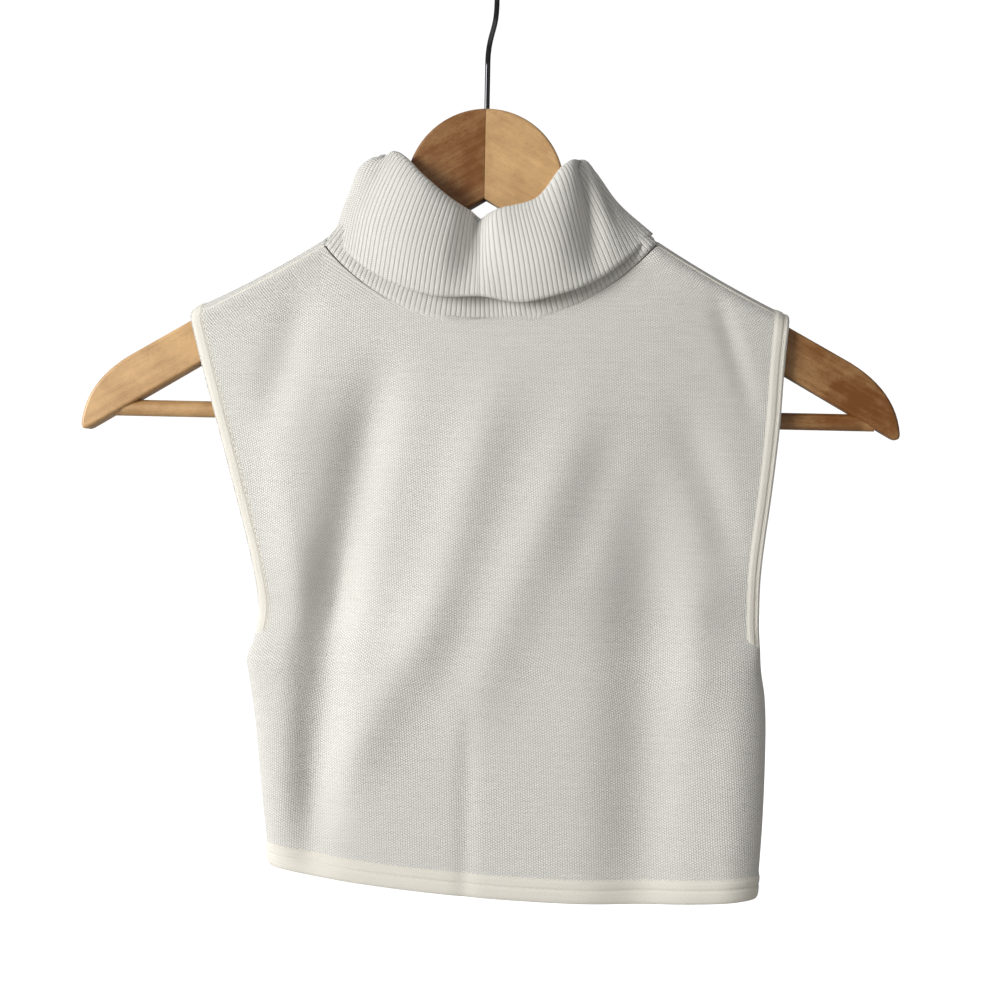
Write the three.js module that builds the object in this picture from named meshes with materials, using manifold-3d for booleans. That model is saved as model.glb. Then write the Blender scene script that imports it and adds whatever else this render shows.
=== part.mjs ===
// Turtleneck dickey hanging on a wooden clothes hanger.
// Millimetres, +Z up. The front faces -Y and +X is on the viewer's right.
// The origin is the inner top of the hook's crook, where the hook hangs on its rail. The pieces are
// modelled in a group of their own, whose zero height is the top of the hanger's wood.

import * as THREE from "three";
import { mergeVertices } from "three/addons/utils/BufferGeometryUtils.js";
import Module from "manifold-3d";

const wasm = await Module();
wasm.setup();

// Driving sizes

const clearance = 0.3; // between pieces that meet

const hanger = {
  halfSpan: 222, // centre to tip
  domeRadius: 43, // round head above the arms
  domeFillet: 9, // hollow where the head runs into an arm
  notchDepth: 48.5, // top of the wood down to the notch under the head
  armTop: 52.6, // top of the wood down to where an arm's upper edge starts
  armTopStart: 50, // centre to that place
  topSlope: 0.566, // fall of the upper edge for each mm outward
  lowerSlope: 0.58, // fall of the lower edge
  tipLength: 26, // rounded stretch at the end of an arm
  tipLean: 2, // how far the end leans in as it rises
  tipRound: 5, // rounded corner under it
  thickness: 12,
  edge: 1.5, // rounding of the wood's edges
};

const bar = {
  radius: 4.5,
  rise: 12.26, // above the lowest line of the arms at their ends
  bedded: 13, // length inside each arm
  tilt: 0.44, // degrees, lower at its right end
};

const hook = {
  wire: 2.9,
  stem: 26, // straight part above the wood
  screwed: 18, // length inside the wood
  bend: 22, // radius of the crook's centre line
  centreHeight: 66, // crook's centre above the wood
  turn: 85, // the crook's plane, turned from the hanger's, in degrees
  join: -38, // where the stem's curve meets the crook, in degrees
  end: 168, // where the wire ends
};

const cloth = { thickness: 1.6, roll: 10 }; // roll: outer radius where the cloth passes over an arm

const body = {
  shoulderHalf: 163, // half the width at the shoulder points
  length: 350, // neck points down to the hem's lowest edge
  neckTop: 72.8, // top of the wood down to the neck points
  depth: 20, // centre of the hanger out to the middle of the front
  liftLeft: 4, // cloth's ridge above the wood at the left neck point
  liftLeftEnd: 6.6, // and at the left shoulder point
  liftRight: 6.2,
  sagLeft: 1.9, // how far the ridge sags midway along each shoulder
  sagRight: 1.6,
  seamLeft: 5.5, // shoulder seam below the ridge, on the front
  seamRight: 3,
  sideRound: 2.4, // exponent of the body's cross-section below the armholes
};

const neckline = {
  halfWidth: 90,
  centre: 3.5, // the neckline hangs slightly to the right
  frontDrop: 44.8,
  backDrop: 22,
  rise: 30, // middle of the ridge line between the neck points above the points themselves
  roundness: 0.9,
  crossing: 0.05, // share of the half width over which the back neckline passes the ridge
};

const hem = { height: 12.7, thickness: 3, sag: 7.8, tilt: 3.7, side: 341.5 }; // side: neck points to side edge

const armhole = { band: 8, thickness: 2.6, bottom: 213, turnDrop: 3 }; // bottom: below the neck points

const collar = {
  wall: 2,
  rollRadius: 4, // centre line of the fold
  topHalf: 57, // half the width along the fold
  topDepth: 18.5,
  edgeHalf: 86, // half the width along the free edge
  edgeDepth: 30,
  height: 96, // neckline's lowest point up to the fold's highest
  puff: 6, // how far the turned-down layer swells
};

// Shape tables. Every length is a share of the named size at the head of its column.

// Side outline: down = body.length below the neck points, left and right = body.shoulderHalf
const outline = [
  { down: 0.117, left: -0.983, right: 1.003 },
  { down: 0.186, left: -0.942, right: 0.99 },
  { down: 0.277, left: -0.885, right: 0.978 },
  { down: 0.371, left: -0.829, right: 0.958 },
  { down: 0.494, left: -0.761, right: 0.928 },
  { down: 0.571, left: -0.735, right: 0.924 },
  { down: 0.62, left: -0.75, right: 0.93 },
  { down: 0.646, left: -0.77, right: 0.934 },
  { down: 0.686, left: -0.757, right: 0.947 },
  { down: 0.746, left: -0.736, right: 0.952 },
  { down: 0.871, left: -0.705, right: 0.947 },
  { down: 1, left: -0.668, right: 0.931 },
];

// Depth of the cloth from the hanger's centre plane: middle and edge = body.depth
const frontDepth = [
  { down: 0, middle: 0.5, edge: 0.5 },
  { down: 0.07, middle: 0.8, edge: 0.5 },
  { down: 0.13, middle: 1, edge: 0.5 },
  { down: 0.27, middle: 1, edge: 0.54 },
  { down: 0.44, middle: 0.95, edge: 0.42 },
  { down: 0.61, middle: 1, edge: 0.21 },
  { down: 0.65, middle: 1.02, edge: 0.01 },
  { down: 0.75, middle: 1.05, edge: 0.01 },
  { down: 1, middle: 1.1, edge: 0.01 },
];

const backDepth = [
  { down: 0, middle: 0.5, edge: 0.5 },
  { down: 0.07, middle: 0.95, edge: 0.5 },
  { down: 0.13, middle: 0.9, edge: 0.5 },
  { down: 0.27, middle: 0.75, edge: 0.54 },
  { down: 0.44, middle: 0.7, edge: 0.42 },
  { down: 0.61, middle: 0.8, edge: 0.21 },
  { down: 0.65, middle: 0.85, edge: 0.01 },
  { down: 0.75, middle: 0.9, edge: 0.01 },
  { down: 1, middle: 1, edge: 0.01 },
];

// Folds: each runs from (x1, down1) to (x2, down2), x and width = body.shoulderHalf, down = body.length,
// swell = body.depth, outward when positive
const frontFolds = [
  { x1: -0.44, down1: 0.24, x2: -0.53, down2: 0.56, width: 0.09, swell: -0.36 },
  { x1: -0.52, down1: 0.52, x2: -0.58, down2: 0.95, width: 0.08, swell: -0.26 },
  { x1: -0.62, down1: 0.08, x2: -0.71, down2: 0.3, width: 0.06, swell: -0.12 },
  { x1: -0.66, down1: 0.26, x2: -0.7, down2: 0.5, width: 0.08, swell: 0.2 },
  { x1: -0.3, down1: 0.62, x2: -0.5, down2: 0.9, width: 0.09, swell: 0.2 },
  { x1: 0.02, down1: 0.3, x2: -0.2, down2: 0.68, width: 0.1, swell: 0.24 },
  { x1: 0.31, down1: 0.32, x2: 0.05, down2: 0.72, width: 0.09, swell: 0.2 },
  { x1: 0.42, down1: 0.3, x2: 0.24, down2: 0.6, width: 0.09, swell: -0.26 },
  { x1: 0.45, down1: 0.44, x2: 0.46, down2: 0.8, width: 0.12, swell: -0.26 },
  { x1: 0.65, down1: 0.27, x2: 0.84, down2: 0.5, width: 0.08, swell: -0.2 },
  { x1: 0.78, down1: 0.07, x2: 0.88, down2: 0.26, width: 0.05, swell: -0.08 },
  { x1: 0, down1: 0.78, x2: 0.01, down2: 1.05, width: 0.03, swell: -0.12 },
  { x1: 0.82, down1: 0.7, x2: 0.8, down2: 0.95, width: 0.08, swell: 0.16 },
  { x1: 0.7, down1: 0.55, x2: 0.71, down2: 0.68, width: 0.08, swell: 0.16 },
];

const backFolds = [
  { x1: -0.3, down1: 0.3, x2: -0.42, down2: 1.05, width: 0.12, swell: 0.24 },
  { x1: 0.1, down1: 0.25, x2: 0.06, down2: 1.05, width: 0.12, swell: -0.2 },
  { x1: 0.45, down1: 0.3, x2: 0.6, down2: 1.05, width: 0.12, swell: 0.24 },
];

// Collar, by the way it faces, in degrees from the front towards +X. The fold: seam = place along
// neckline.halfWidth below it, x = topHalf, y = topDepth, z = height above the neckline's lowest point
const collarFold = [
  { turn: 0, seam: 0, x: -0.02, y: -0.53, z: 0.635 },
  { turn: 12, seam: 0.22, x: 0.26, y: -0.92, z: 0.66 },
  { turn: 22, seam: 0.47, x: 0.53, y: -1, z: 0.71 },
  { turn: 38, seam: 0.66, x: 0.75, y: -0.88, z: 0.88 },
  { turn: 60, seam: 0.86, x: 0.885, y: -0.41, z: 0.945 },
  { turn: 88, seam: 1, x: 0.96, y: 0.18, z: 0.93 },
  { turn: 125, seam: 0.86, x: 0.86, y: 0.76, z: 0.865 },
  { turn: 155, seam: 0.5, x: 0.49, y: 1, z: 0.71 },
  { turn: 180, seam: 0, x: 0, y: 0.82, z: 0.61 },
  { turn: 205, seam: -0.5, x: -0.53, y: 1, z: 0.72 },
  { turn: 235, seam: -0.86, x: -0.98, y: 0.7, z: 0.95 },
  { turn: 270, seam: -1, x: -1.05, y: 0.12, z: 0.965 },
  { turn: 298, seam: -0.78, x: -0.84, y: -0.47, z: 0.985 },
  { turn: 332, seam: -0.52, x: -0.53, y: -1, z: 0.82 },
  { turn: 348, seam: -0.25, x: -0.25, y: -0.92, z: 0.69 },
];

// The free edge: x = edgeHalf, y = edgeDepth, z = height, and puff = how far the layer above it swells
const collarEdge = [
  { turn: 0, x: 0, y: -0.9, z: 0.16, puff: -0.3 },
  { turn: 12, x: 0.27, y: -1, z: 0.13, puff: 0.5 },
  { turn: 22, x: 0.52, y: -0.97, z: 0.18, puff: 0.8 },
  { turn: 38, x: 0.71, y: -0.8, z: 0.25, puff: -0.3 },
  { turn: 60, x: 0.91, y: -0.5, z: 0.385, puff: 0.1 },
  { turn: 88, x: 1.05, y: -0.07, z: 0.536, puff: -0.5 },
  { turn: 125, x: 0.93, y: 0.63, z: 0.48, puff: 0.2 },
  { turn: 155, x: 0.58, y: 1, z: 0.3, puff: 0.5 },
  { turn: 180, x: 0, y: 1.03, z: 0.24, puff: 0 },
  { turn: 205, x: -0.56, y: 0.97, z: 0.3, puff: 0.5 },
  { turn: 235, x: -0.86, y: 0.6, z: 0.45, puff: 0.5 },
  { turn: 270, x: -0.95, y: -0.03, z: 0.54, puff: 0.5 },
  { turn: 298, x: -0.79, y: -0.53, z: 0.375, puff: 0.6 },
  { turn: 332, x: -0.52, y: -0.9, z: 0.23, puff: 0.6 },
  { turn: 348, x: -0.26, y: -1, z: 0.16, puff: 0.5 },
];

// How finely the cloth is divided
const mesh = { shoulder: 6, neck: 14, rollRows: 3, rows: 16, hook: 36 };
const loops = { collar: 64, profile: 10, armhole: 11 };

// Small helpers

const mix = (from, to, share) => from + (to - from) * share;

function smoothstep(low, high, value) {
  const share = Math.min(Math.max((value - low) / (high - low), 0), 1);
  return share * share * (3 - 2 * share);
}

// A column of a table read at any place between its rows, as a smooth curve through them
function readTable(table, key, column, at) {
  const last = table.length - 1;
  if (at <= table[0][key]) return table[0][column];
  if (at >= table[last][key]) return table[last][column];
  let row = 0;
  while (at > table[row + 1][key]) row += 1;
  const slope = (index) => {
    const before = table[Math.max(index - 1, 0)];
    const after = table[Math.min(index + 1, last)];
    return (after[column] - before[column]) / (after[key] - before[key]);
  };
  const width = table[row + 1][key] - table[row][key];
  const share = (at - table[row][key]) / width;
  const startPull = share * (1 - share) ** 2 * width * slope(row);
  const endPull = share ** 2 * (share - 1) * width * slope(row + 1);
  const blend = smoothstep(0, 1, share);
  return mix(table[row][column], table[row + 1][column], blend) + startPull + endPull;
}

// Solids

function toManifold(geometry) {
  const bare = geometry.clone();
  bare.deleteAttribute("normal");
  bare.deleteAttribute("uv");
  const merged = bare.index ? bare : mergeVertices(bare, 1e-4);
  return new wasm.Manifold(
    new wasm.Mesh({
      numProp: 3,
      vertProperties: new Float32Array(merged.attributes.position.array),
      triVerts: new Uint32Array(merged.index.array),
    }),
  );
}

// A solid with the room that another piece needs cut out of it, with the clearance each way
function clearOf(solid, piece) {
  const ways = [-clearance, clearance];
  const shifts = ways.flatMap((x) => ways.flatMap((y) => ways.map((z) => [x, y, z])));
  return shifts.reduce((rest, shift) => rest.subtract(piece.translate(shift)), solid);
}

function box(width, depth, height) {
  return toManifold(new THREE.BoxGeometry(width, depth, height).toNonIndexed());
}

function rod(radius, length, sides) {
  return toManifold(new THREE.CylinderGeometry(radius, radius, length, sides).toNonIndexed());
}

function toGeometry(solid) {
  const result = solid.getMesh();
  const geometry = new THREE.BufferGeometry();
  geometry.setAttribute("position", new THREE.BufferAttribute(result.vertProperties, 3));
  geometry.setIndex(new THREE.BufferAttribute(result.triVerts, 1));
  return geometry;
}

// The largest body of a solid, without slivers that a cut leaves beside it
function largestBody(solid) {
  return solid.decompose().reduce((best, each) => (each.volume() > best.volume() ? each : best));
}

// Outward normals of a grid of points, grid[column][row]. The grid closes on itself across the
// columns with loop.
function gridNormals(grid, loop, facing) {
  const count = grid.length;
  const lastRow = grid[0].length - 1;
  return grid.map((column, index) => {
    const before = loop ? grid[(index + count - 1) % count] : grid[Math.max(index - 1, 0)];
    const after = loop ? grid[(index + 1) % count] : grid[Math.min(index + 1, count - 1)];
    return column.map((point, row) => {
      const down = column[Math.min(row + 1, lastRow)].clone().sub(column[Math.max(row - 1, 0)]);
      const across = after[row].clone().sub(before[row]);
      return across.cross(down).normalize().multiplyScalar(facing);
    });
  });
}

// A wall made from a grid of points and their normals, thickened by outward and inward
function wallGeometry(grid, normals, { loop = false, facing = 1, outward = 0, inward = 0 }) {
  const columns = grid.length;
  const rows = grid[0].length;
  const outer = [];
  const inner = [];
  for (let column = 0; column < columns; column += 1) {
    for (let row = 0; row < rows; row += 1) {
      const point = grid[column][row];
      const normal = normals[column][row];
      outer.push(...point.clone().addScaledVector(normal, outward).toArray());
      inner.push(...point.clone().addScaledVector(normal, -inward).toArray());
    }
  }
  const at = (column, row) => (column % columns) * rows + row;
  const shift = columns * rows;
  const faces = [];
  const quad = (a, b, c, d) => faces.push(a, b, c, a, c, d);
  const spans = loop ? columns : columns - 1;
  for (let column = 0; column < spans; column += 1) {
    for (let row = 0; row < rows - 1; row += 1) {
      const corners = [at(column, row), at(column, row + 1), at(column + 1, row + 1), at(column + 1, row)];
      quad(...corners);
      quad(...corners.map((corner) => corner + shift).reverse());
    }
    const first = [at(column, 0), at(column + 1, 0)];
    quad(first[0], first[1], first[1] + shift, first[0] + shift);
    const final = [at(column, rows - 1), at(column + 1, rows - 1)];
    quad(final[1], final[0], final[0] + shift, final[1] + shift);
  }
  for (let row = 0; !loop && row < rows - 1; row += 1) {
    quad(at(0, row + 1), at(0, row), at(0, row) + shift, at(0, row + 1) + shift);
    const far = [at(columns - 1, row), at(columns - 1, row + 1)];
    quad(far[0], far[1], far[1] + shift, far[0] + shift);
  }
  const geometry = new THREE.BufferGeometry();
  geometry.setAttribute("position", new THREE.Float32BufferAttribute([...outer, ...inner], 3));
  geometry.setIndex(facing > 0 ? faces.reverse() : faces);
  return geometry;
}

// The body's cloth

const neckLeft = neckline.centre - neckline.halfWidth;
const neckRight = neckline.centre + neckline.halfWidth;
const shoulderLeft = outline[0].left * body.shoulderHalf;
const shoulderRight = outline[0].right * body.shoulderHalf;
const widthShare = (x) => (2 * (x - shoulderLeft)) / (shoulderRight - shoulderLeft) - 1;
const neckShareLeft = widthShare(neckLeft);
const neckShareRight = widthShare(neckRight);

const armTopAt = (x) => -hanger.armTop - hanger.topSlope * (Math.abs(x) - hanger.armTopStart);
const downShare = (z) => (-z - body.neckTop) / body.length;

function shoulderX(u) {
  return mix(shoulderLeft, shoulderRight, (u + 1) / 2);
}

// Place along the neckline, -1 and 1 at the neck points
const neckPlace = (x) => (x - neckline.centre) / neckline.halfWidth;

// Height of the cloth's ridge along the shoulders, and of the line between the neck points
function ridgeAt(x) {
  const sagged = (sag, outward) => 4 * sag * outward * (1 - outward);
  if (x <= neckLeft) {
    const outward = (neckLeft - x) / (neckLeft - shoulderLeft);
    return armTopAt(x) + mix(body.liftLeft, body.liftLeftEnd, outward) - sagged(body.sagLeft, outward);
  }
  if (x >= neckRight) {
    const outward = (x - neckRight) / (shoulderRight - neckRight);
    return armTopAt(x) + body.liftRight - sagged(body.sagRight, outward);
  }
  const place = neckPlace(x);
  const ends = mix(ridgeAt(neckLeft), ridgeAt(neckRight), (place + 1) / 2);
  return ends + neckline.rise * (1 - place ** 2);
}

// Path over the shoulder: the way along the cloth from the ridge gives a drop below it, and back
function dropOf(way) {
  const turn = Math.abs(way) / cloth.roll;
  if (turn < Math.PI / 2) return cloth.roll * (1 - Math.cos(turn));
  return cloth.roll * (1 + turn - Math.PI / 2);
}

function wayOf(drop) {
  if (drop < cloth.roll) return cloth.roll * Math.acos(1 - drop / cloth.roll);
  return drop - cloth.roll + (cloth.roll * Math.PI) / 2;
}

function foldSwell(folds, x, z) {
  let swell = 0;
  for (const fold of folds) {
    const start = new THREE.Vector2(fold.x1 * body.shoulderHalf, fold.down1 * body.length);
    const along = new THREE.Vector2(fold.x2 * body.shoulderHalf, fold.down2 * body.length).sub(start);
    const from = new THREE.Vector2(x, downShare(z) * body.length).sub(start);
    const share = from.dot(along) / along.lengthSq();
    const aside = from.cross(along) / along.length();
    const ends = smoothstep(-0.25, 0.25, share) * smoothstep(1.25, 0.75, share);
    const width = fold.width * body.shoulderHalf;
    swell += fold.swell * body.depth * ends * Math.exp(-((aside / width) ** 2));
  }
  return swell;
}

// Depth of the cloth from the hanger's centre plane at a place across (u) and height z
function depthAt(side, u, x, z) {
  const table = side < 0 ? frontDepth : backDepth;
  const down = downShare(z);
  const middle = readTable(table, "down", "middle", down) * body.depth;
  const edge = readTable(table, "down", "edge", down) * body.depth;
  const across = Math.min(Math.abs(u), 1);
  const open = 1 - across ** 2;
  const closed = (1 - across ** body.sideRound) ** (1 / body.sideRound);
  const belowArmhole = smoothstep(0.56, 0.66, down);
  const bulge = mix(open, closed, belowArmhole);
  const folds = foldSwell(side < 0 ? frontFolds : backFolds, x, z);
  const free = smoothstep(0, 0.35, 1 - across) * smoothstep(0.02, 0.14, down);
  return edge + (middle - edge) * bulge + folds * free;
}

// A point on the outer face of the body: side -1 is the front, u runs -1 to 1 across, and way is the
// length along the cloth from the ridge, negative where a panel starts beyond it
function bodyPoint(side, u, way) {
  const z = ridgeAt(shoulderX(u)) - dropOf(way);
  const down = downShare(z);
  const left = readTable(outline, "down", "left", down) * body.shoulderHalf;
  const right = readTable(outline, "down", "right", down) * body.shoulderHalf;
  const x = mix(left, right, (u + 1) / 2);
  const turn = Math.min(Math.abs(way) / cloth.roll, Math.PI / 2);
  const face = way < 0 ? -side : side;
  return new THREE.Vector3(x, face * Math.sin(turn) * depthAt(face, u, x, z), z);
}

// Outward normal of the body's face
function bodyNormal(side, u, way) {
  const stepAcross = 0.004;
  const stepDown = 0.5;
  const right = bodyPoint(side, Math.min(u + stepAcross, 1), way);
  const left = bodyPoint(side, Math.max(u - stepAcross, -1), way);
  const down = bodyPoint(side, u, way + stepDown).sub(bodyPoint(side, u, way - stepDown));
  return right.sub(left).cross(down).normalize().multiplyScalar(side);
}

const seamDropAt = (u) => (u < neckline.centre / body.shoulderHalf ? body.seamLeft : body.seamRight);

// Where a panel starts: at the shoulder seam, or at the neckline between the neck points
function topWay(side, u) {
  const x = shoulderX(u);
  const place = Math.max(-1, Math.min(1, neckPlace(x)));
  const seamWay = wayOf(seamDropAt(u));
  if (Math.abs(place) === 1) return side < 0 ? seamWay : -seamWay;
  const startLeft = ridgeAt(neckLeft) - body.seamLeft;
  const startRight = ridgeAt(neckRight) - body.seamRight;
  const start = mix(startLeft, startRight, (place + 1) / 2);
  const drop = side < 0 ? neckline.frontDrop : neckline.backDrop;
  const z = start - drop * (1 - place ** 2) ** neckline.roundness;
  const way = wayOf(ridgeAt(x) - z);
  if (side < 0) return way;
  return mix(-seamWay, way, smoothstep(0, neckline.crossing, 1 - Math.abs(place)));
}

const hemDropAt = (u) => body.neckTop + hem.side + hem.tilt * u + hem.sag * (1 - u ** 2);
const hemWay = (u, above) => wayOf(ridgeAt(shoulderX(u)) + hemDropAt(u) - above);

// Columns of a panel: closer together at the side edges and neck points
function columnPlaces() {
  const places = [];
  for (let step = 0; step < mesh.shoulder; step += 1) {
    const share = 1 - Math.cos((step / mesh.shoulder) * (Math.PI / 2));
    places.push(mix(-1, neckShareLeft, share));
  }
  for (let step = 0; step <= mesh.neck; step += 1) {
    const share = (1 - Math.cos((step / mesh.neck) * Math.PI)) / 2;
    places.push(mix(neckShareLeft, neckShareRight, share));
  }
  for (let step = mesh.shoulder - 1; step >= 0; step -= 1) {
    const share = 1 - Math.cos((step / mesh.shoulder) * (Math.PI / 2));
    places.push(mix(1, neckShareRight, share));
  }
  return places;
}

function panelGeometry(side, rollRows) {
  const halfSeam = clearance / 2;
  const places = columnPlaces();
  const ways = places.map((u) => {
    const top = topWay(side, u) + halfSeam;
    const bottom = hemWay(u, hem.height + clearance);
    const rollEnd = top + ((rollRows + 1) * cloth.roll * Math.PI) / 8;
    const column = [];
    for (let row = 0; row < rollRows; row += 1) column.push(mix(top, rollEnd, row / rollRows));
    for (let row = 0; row <= mesh.rows; row += 1) column.push(mix(rollEnd, bottom, row / mesh.rows));
    return column;
  });
  const onBody = (make) => places.map((u, column) => ways[column].map((way) => make(side, u, way)));
  return wallGeometry(onBody(bodyPoint), onBody(bodyNormal), { facing: side, inward: cloth.thickness });
}

// One loop of cloth round an armhole: hand -1 is the left one. Each row lies a set distance in from
// the free edge.
function armholeGrid(hand, distances) {
  const bottomZ = -body.neckTop - armhole.bottom;
  const bottomWay = wayOf(ridgeAt(shoulderX(hand)) - bottomZ);
  const placeAt = (distance) => hand * (1 - distance / body.shoulderHalf);
  const along = (side, way) => distances.map((distance) => bodyPoint(side, placeAt(distance), way));
  const rollSteps = 3;
  const ways = [];
  for (let step = 0; step < rollSteps; step += 1) ways.push((cloth.roll * Math.PI * step) / 2 / rollSteps);
  for (let step = 0; step <= loops.armhole; step += 1) {
    ways.push(mix((cloth.roll * Math.PI) / 2, bottomWay, step / loops.armhole));
  }
  const front = ways.map((way) => along(-1, way));
  const back = ways.map((way) => along(1, way)).reverse();
  const under = [];
  const turnSteps = 6;
  for (let step = 1; step < turnSteps; step += 1) {
    const turn = (Math.PI * step) / turnSteps;
    const ends = [front[front.length - 1], back[0]];
    under.push(
      distances.map((distance, index) => {
        const point = ends[0][index].clone().lerp(ends[1][index], (1 - Math.cos(turn)) / 2);
        const edgeX = ends[0][0].x;
        point.x = mix(point.x, edgeX, 1 - Math.abs(Math.cos(turn)));
        point.z -= (armhole.turnDrop + distance) * Math.sin(turn);
        return point;
      }),
    );
  }
  return [...front, ...under, ...back.slice(0, -1)];
}

function armholeBand(hand) {
  const grid = armholeGrid(hand, [0, armhole.band / 2, armhole.band]);
  const proud = (armhole.thickness - cloth.thickness) / 2;
  const thickness = { loop: true, facing: -hand, outward: proud, inward: armhole.thickness - proud };
  return wallGeometry(grid, gridNormals(grid, true, -hand), thickness);
}

// The other panel's half below the armholes, so that the two meet edge to edge at the side seams
function beyondSideSeam(side) {
  const reach = 2 * body.shoulderHalf;
  const half = box(2 * reach, reach, body.length);
  const top = -body.neckTop - armhole.bottom;
  return half.translate([0, (-side * (reach - clearance)) / 2, top - body.length / 2]);
}

function panel(side, rollRows) {
  let solid = toManifold(panelGeometry(side, rollRows)).subtract(beyondSideSeam(side));
  for (const hand of [-1, 1]) solid = clearOf(solid, toManifold(armholeBand(hand)));
  solid = clearOf(clearOf(solid, hangerBlank()), toManifold(collarTube()));
  return toGeometry(largestBody(solid));
}

function hemBand() {
  const rise = [0, hem.height / 2, hem.height];
  const ring = (side, u) => rise.map((above) => bodyPoint(side, u, hemWay(u, above)));
  const places = columnPlaces();
  const front = places.slice(0, -1).map((u) => ring(-1, u));
  const back = [...places].reverse().slice(0, -1).map((u) => ring(1, u));
  const proud = (hem.thickness - cloth.thickness) / 2;
  const grid = [...front, ...back];
  const thickness = { loop: true, facing: 1, outward: proud, inward: hem.thickness - proud };
  return wallGeometry(grid, gridNormals(grid, true, 1), thickness);
}

// The collar: one tube of rib knit that rises from the neckline, folds outward and comes down

// A collar table read at any turn, carried on round past its first and last rows
function readRound(table, column, turn) {
  const wrapped = [
    ...table.slice(-2).map((row) => ({ ...row, turn: row.turn - 360 })),
    ...table,
    ...table.slice(0, 2).map((row) => ({ ...row, turn: row.turn + 360 })),
  ];
  return readTable(wrapped, "turn", column, turn);
}

function collarProfile(turn) {
  const side = turn <= 90 || turn >= 270 ? -1 : 1;
  const seam = Math.max(-1, Math.min(1, readRound(collarFold, "seam", turn)));
  const u = widthShare(neckline.centre + seam * neckline.halfWidth);
  const middle = widthShare(neckline.centre);
  const base = bodyPoint(-1, middle, topWay(-1, middle)).z;
  const facing = THREE.MathUtils.degToRad(turn);
  const outward = new THREE.Vector3(Math.sin(facing), -Math.cos(facing), 0);
  const up = new THREE.Vector3(0, 0, 1);
  const place = (table, half, depth) =>
    new THREE.Vector3(
      readRound(table, "x", turn) * half,
      readRound(table, "y", turn) * depth,
      base + readRound(table, "z", turn) * collar.height,
    );
  const fold = place(collarFold, collar.topHalf, collar.topDepth);
  const edge = place(collarEdge, collar.edgeHalf, collar.edgeDepth);
  const puff = readRound(collarEdge, "puff", turn) * collar.puff;
  const rolled = (sign) =>
    fold.clone().addScaledVector(outward, sign * collar.rollRadius).addScaledVector(up, -collar.rollRadius);
  const seamWay = topWay(side, u) - 2 * clearance;
  const start = bodyPoint(side, u, seamWay).addScaledVector(outward, -collar.wall / 2);
  const inner = rolled(-1);
  const outer = rolled(1);
  const points = [
    start,
    start.clone().lerp(inner, 0.5).addScaledVector(outward, -collar.rollRadius / 4),
    inner,
    fold,
    outer,
    outer.clone().lerp(edge, 0.5).addScaledVector(outward, puff),
    edge,
  ];
  return new THREE.CatmullRomCurve3(points).getSpacedPoints(loops.profile);
}

function collarTube() {
  const grid = [];
  for (let step = 0; step < loops.collar; step += 1) grid.push(collarProfile((360 * step) / loops.collar));
  const half = collar.wall / 2;
  return wallGeometry(grid, gridNormals(grid, true, 1), { loop: true, outward: half, inward: half });
}

// The tube as it leans on the wood beside the neck points
function ribCollar() {
  return toGeometry(clearOf(toManifold(collarTube()), hangerBlank()));
}

// The hanger

function hangerOutline() {
  const bottomEnd = -hanger.notchDepth - hanger.lowerSlope * hanger.halfSpan;
  const tipTopX = hanger.halfSpan - hanger.tipLength;
  const fillet = hanger.domeFillet;
  const filletEnd = hanger.domeRadius + fillet;
  const half = new THREE.Path();
  half.moveTo(0, -hanger.notchDepth);
  half.lineTo(hanger.halfSpan - hanger.tipRound, bottomEnd + hanger.lowerSlope * hanger.tipRound);
  half.quadraticCurveTo(hanger.halfSpan, bottomEnd, hanger.halfSpan, bottomEnd + hanger.tipRound);
  half.quadraticCurveTo(hanger.halfSpan - hanger.tipLean, armTopAt(hanger.halfSpan), tipTopX, armTopAt(tipTopX));
  half.lineTo(filletEnd, armTopAt(filletEnd));
  const dome = hanger.domeRadius;
  half.quadraticCurveTo(dome, armTopAt(dome), dome, -dome);
  half.absarc(0, -dome, dome, 0, Math.PI / 2, false);
  const right = half.getPoints(6);
  const left = right.slice(1, -1).map((point) => new THREE.Vector2(-point.x, point.y));
  return new THREE.Shape([...right, ...left.reverse()]);
}

function hangerBlank() {
  const wood = new THREE.ExtrudeGeometry(hangerOutline(), {
    depth: hanger.thickness - 2 * hanger.edge,
    bevelThickness: hanger.edge,
    bevelSize: hanger.edge,
    bevelOffset: -hanger.edge,
    bevelSegments: 2,
  });
  wood.translate(0, 0, hanger.edge - hanger.thickness / 2);
  wood.rotateX(Math.PI / 2);
  wood.deleteAttribute("normal");
  wood.deleteAttribute("uv");
  return toManifold(mergeVertices(wood, 1e-4));
}

const barHalf = hanger.halfSpan - bar.bedded;
const barDrop = hanger.notchDepth + hanger.lowerSlope * hanger.halfSpan - bar.rise;

function hangerArm(hand) {
  const reach = 2 * hanger.halfSpan;
  const otherHalf = box(reach, hanger.thickness * 2, reach);
  const barBore = rod(bar.radius + clearance, 2 * (barHalf + clearance), 20)
    .rotate([0, 0, 90])
    .rotate([0, bar.tilt, 0]);
  const hookBore = rod(hook.wire / 2 + clearance, 2 * (hook.screwed + clearance), 12).rotate([90, 0, 0]);
  const solid = hangerBlank()
    .subtract(otherHalf.translate([(-hand * (reach - clearance)) / 2, 0, 0]))
    .subtract(barBore.translate([0, 0, -barDrop]))
    .subtract(hookBore);
  return toGeometry(largestBody(solid));
}

function hangerBar() {
  const geometry = new THREE.CylinderGeometry(bar.radius, bar.radius, 2 * barHalf, 16);
  geometry.rotateZ(Math.PI / 2);
  geometry.rotateY(THREE.MathUtils.degToRad(bar.tilt));
  geometry.translate(0, 0, -barDrop);
  return geometry;
}

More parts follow.
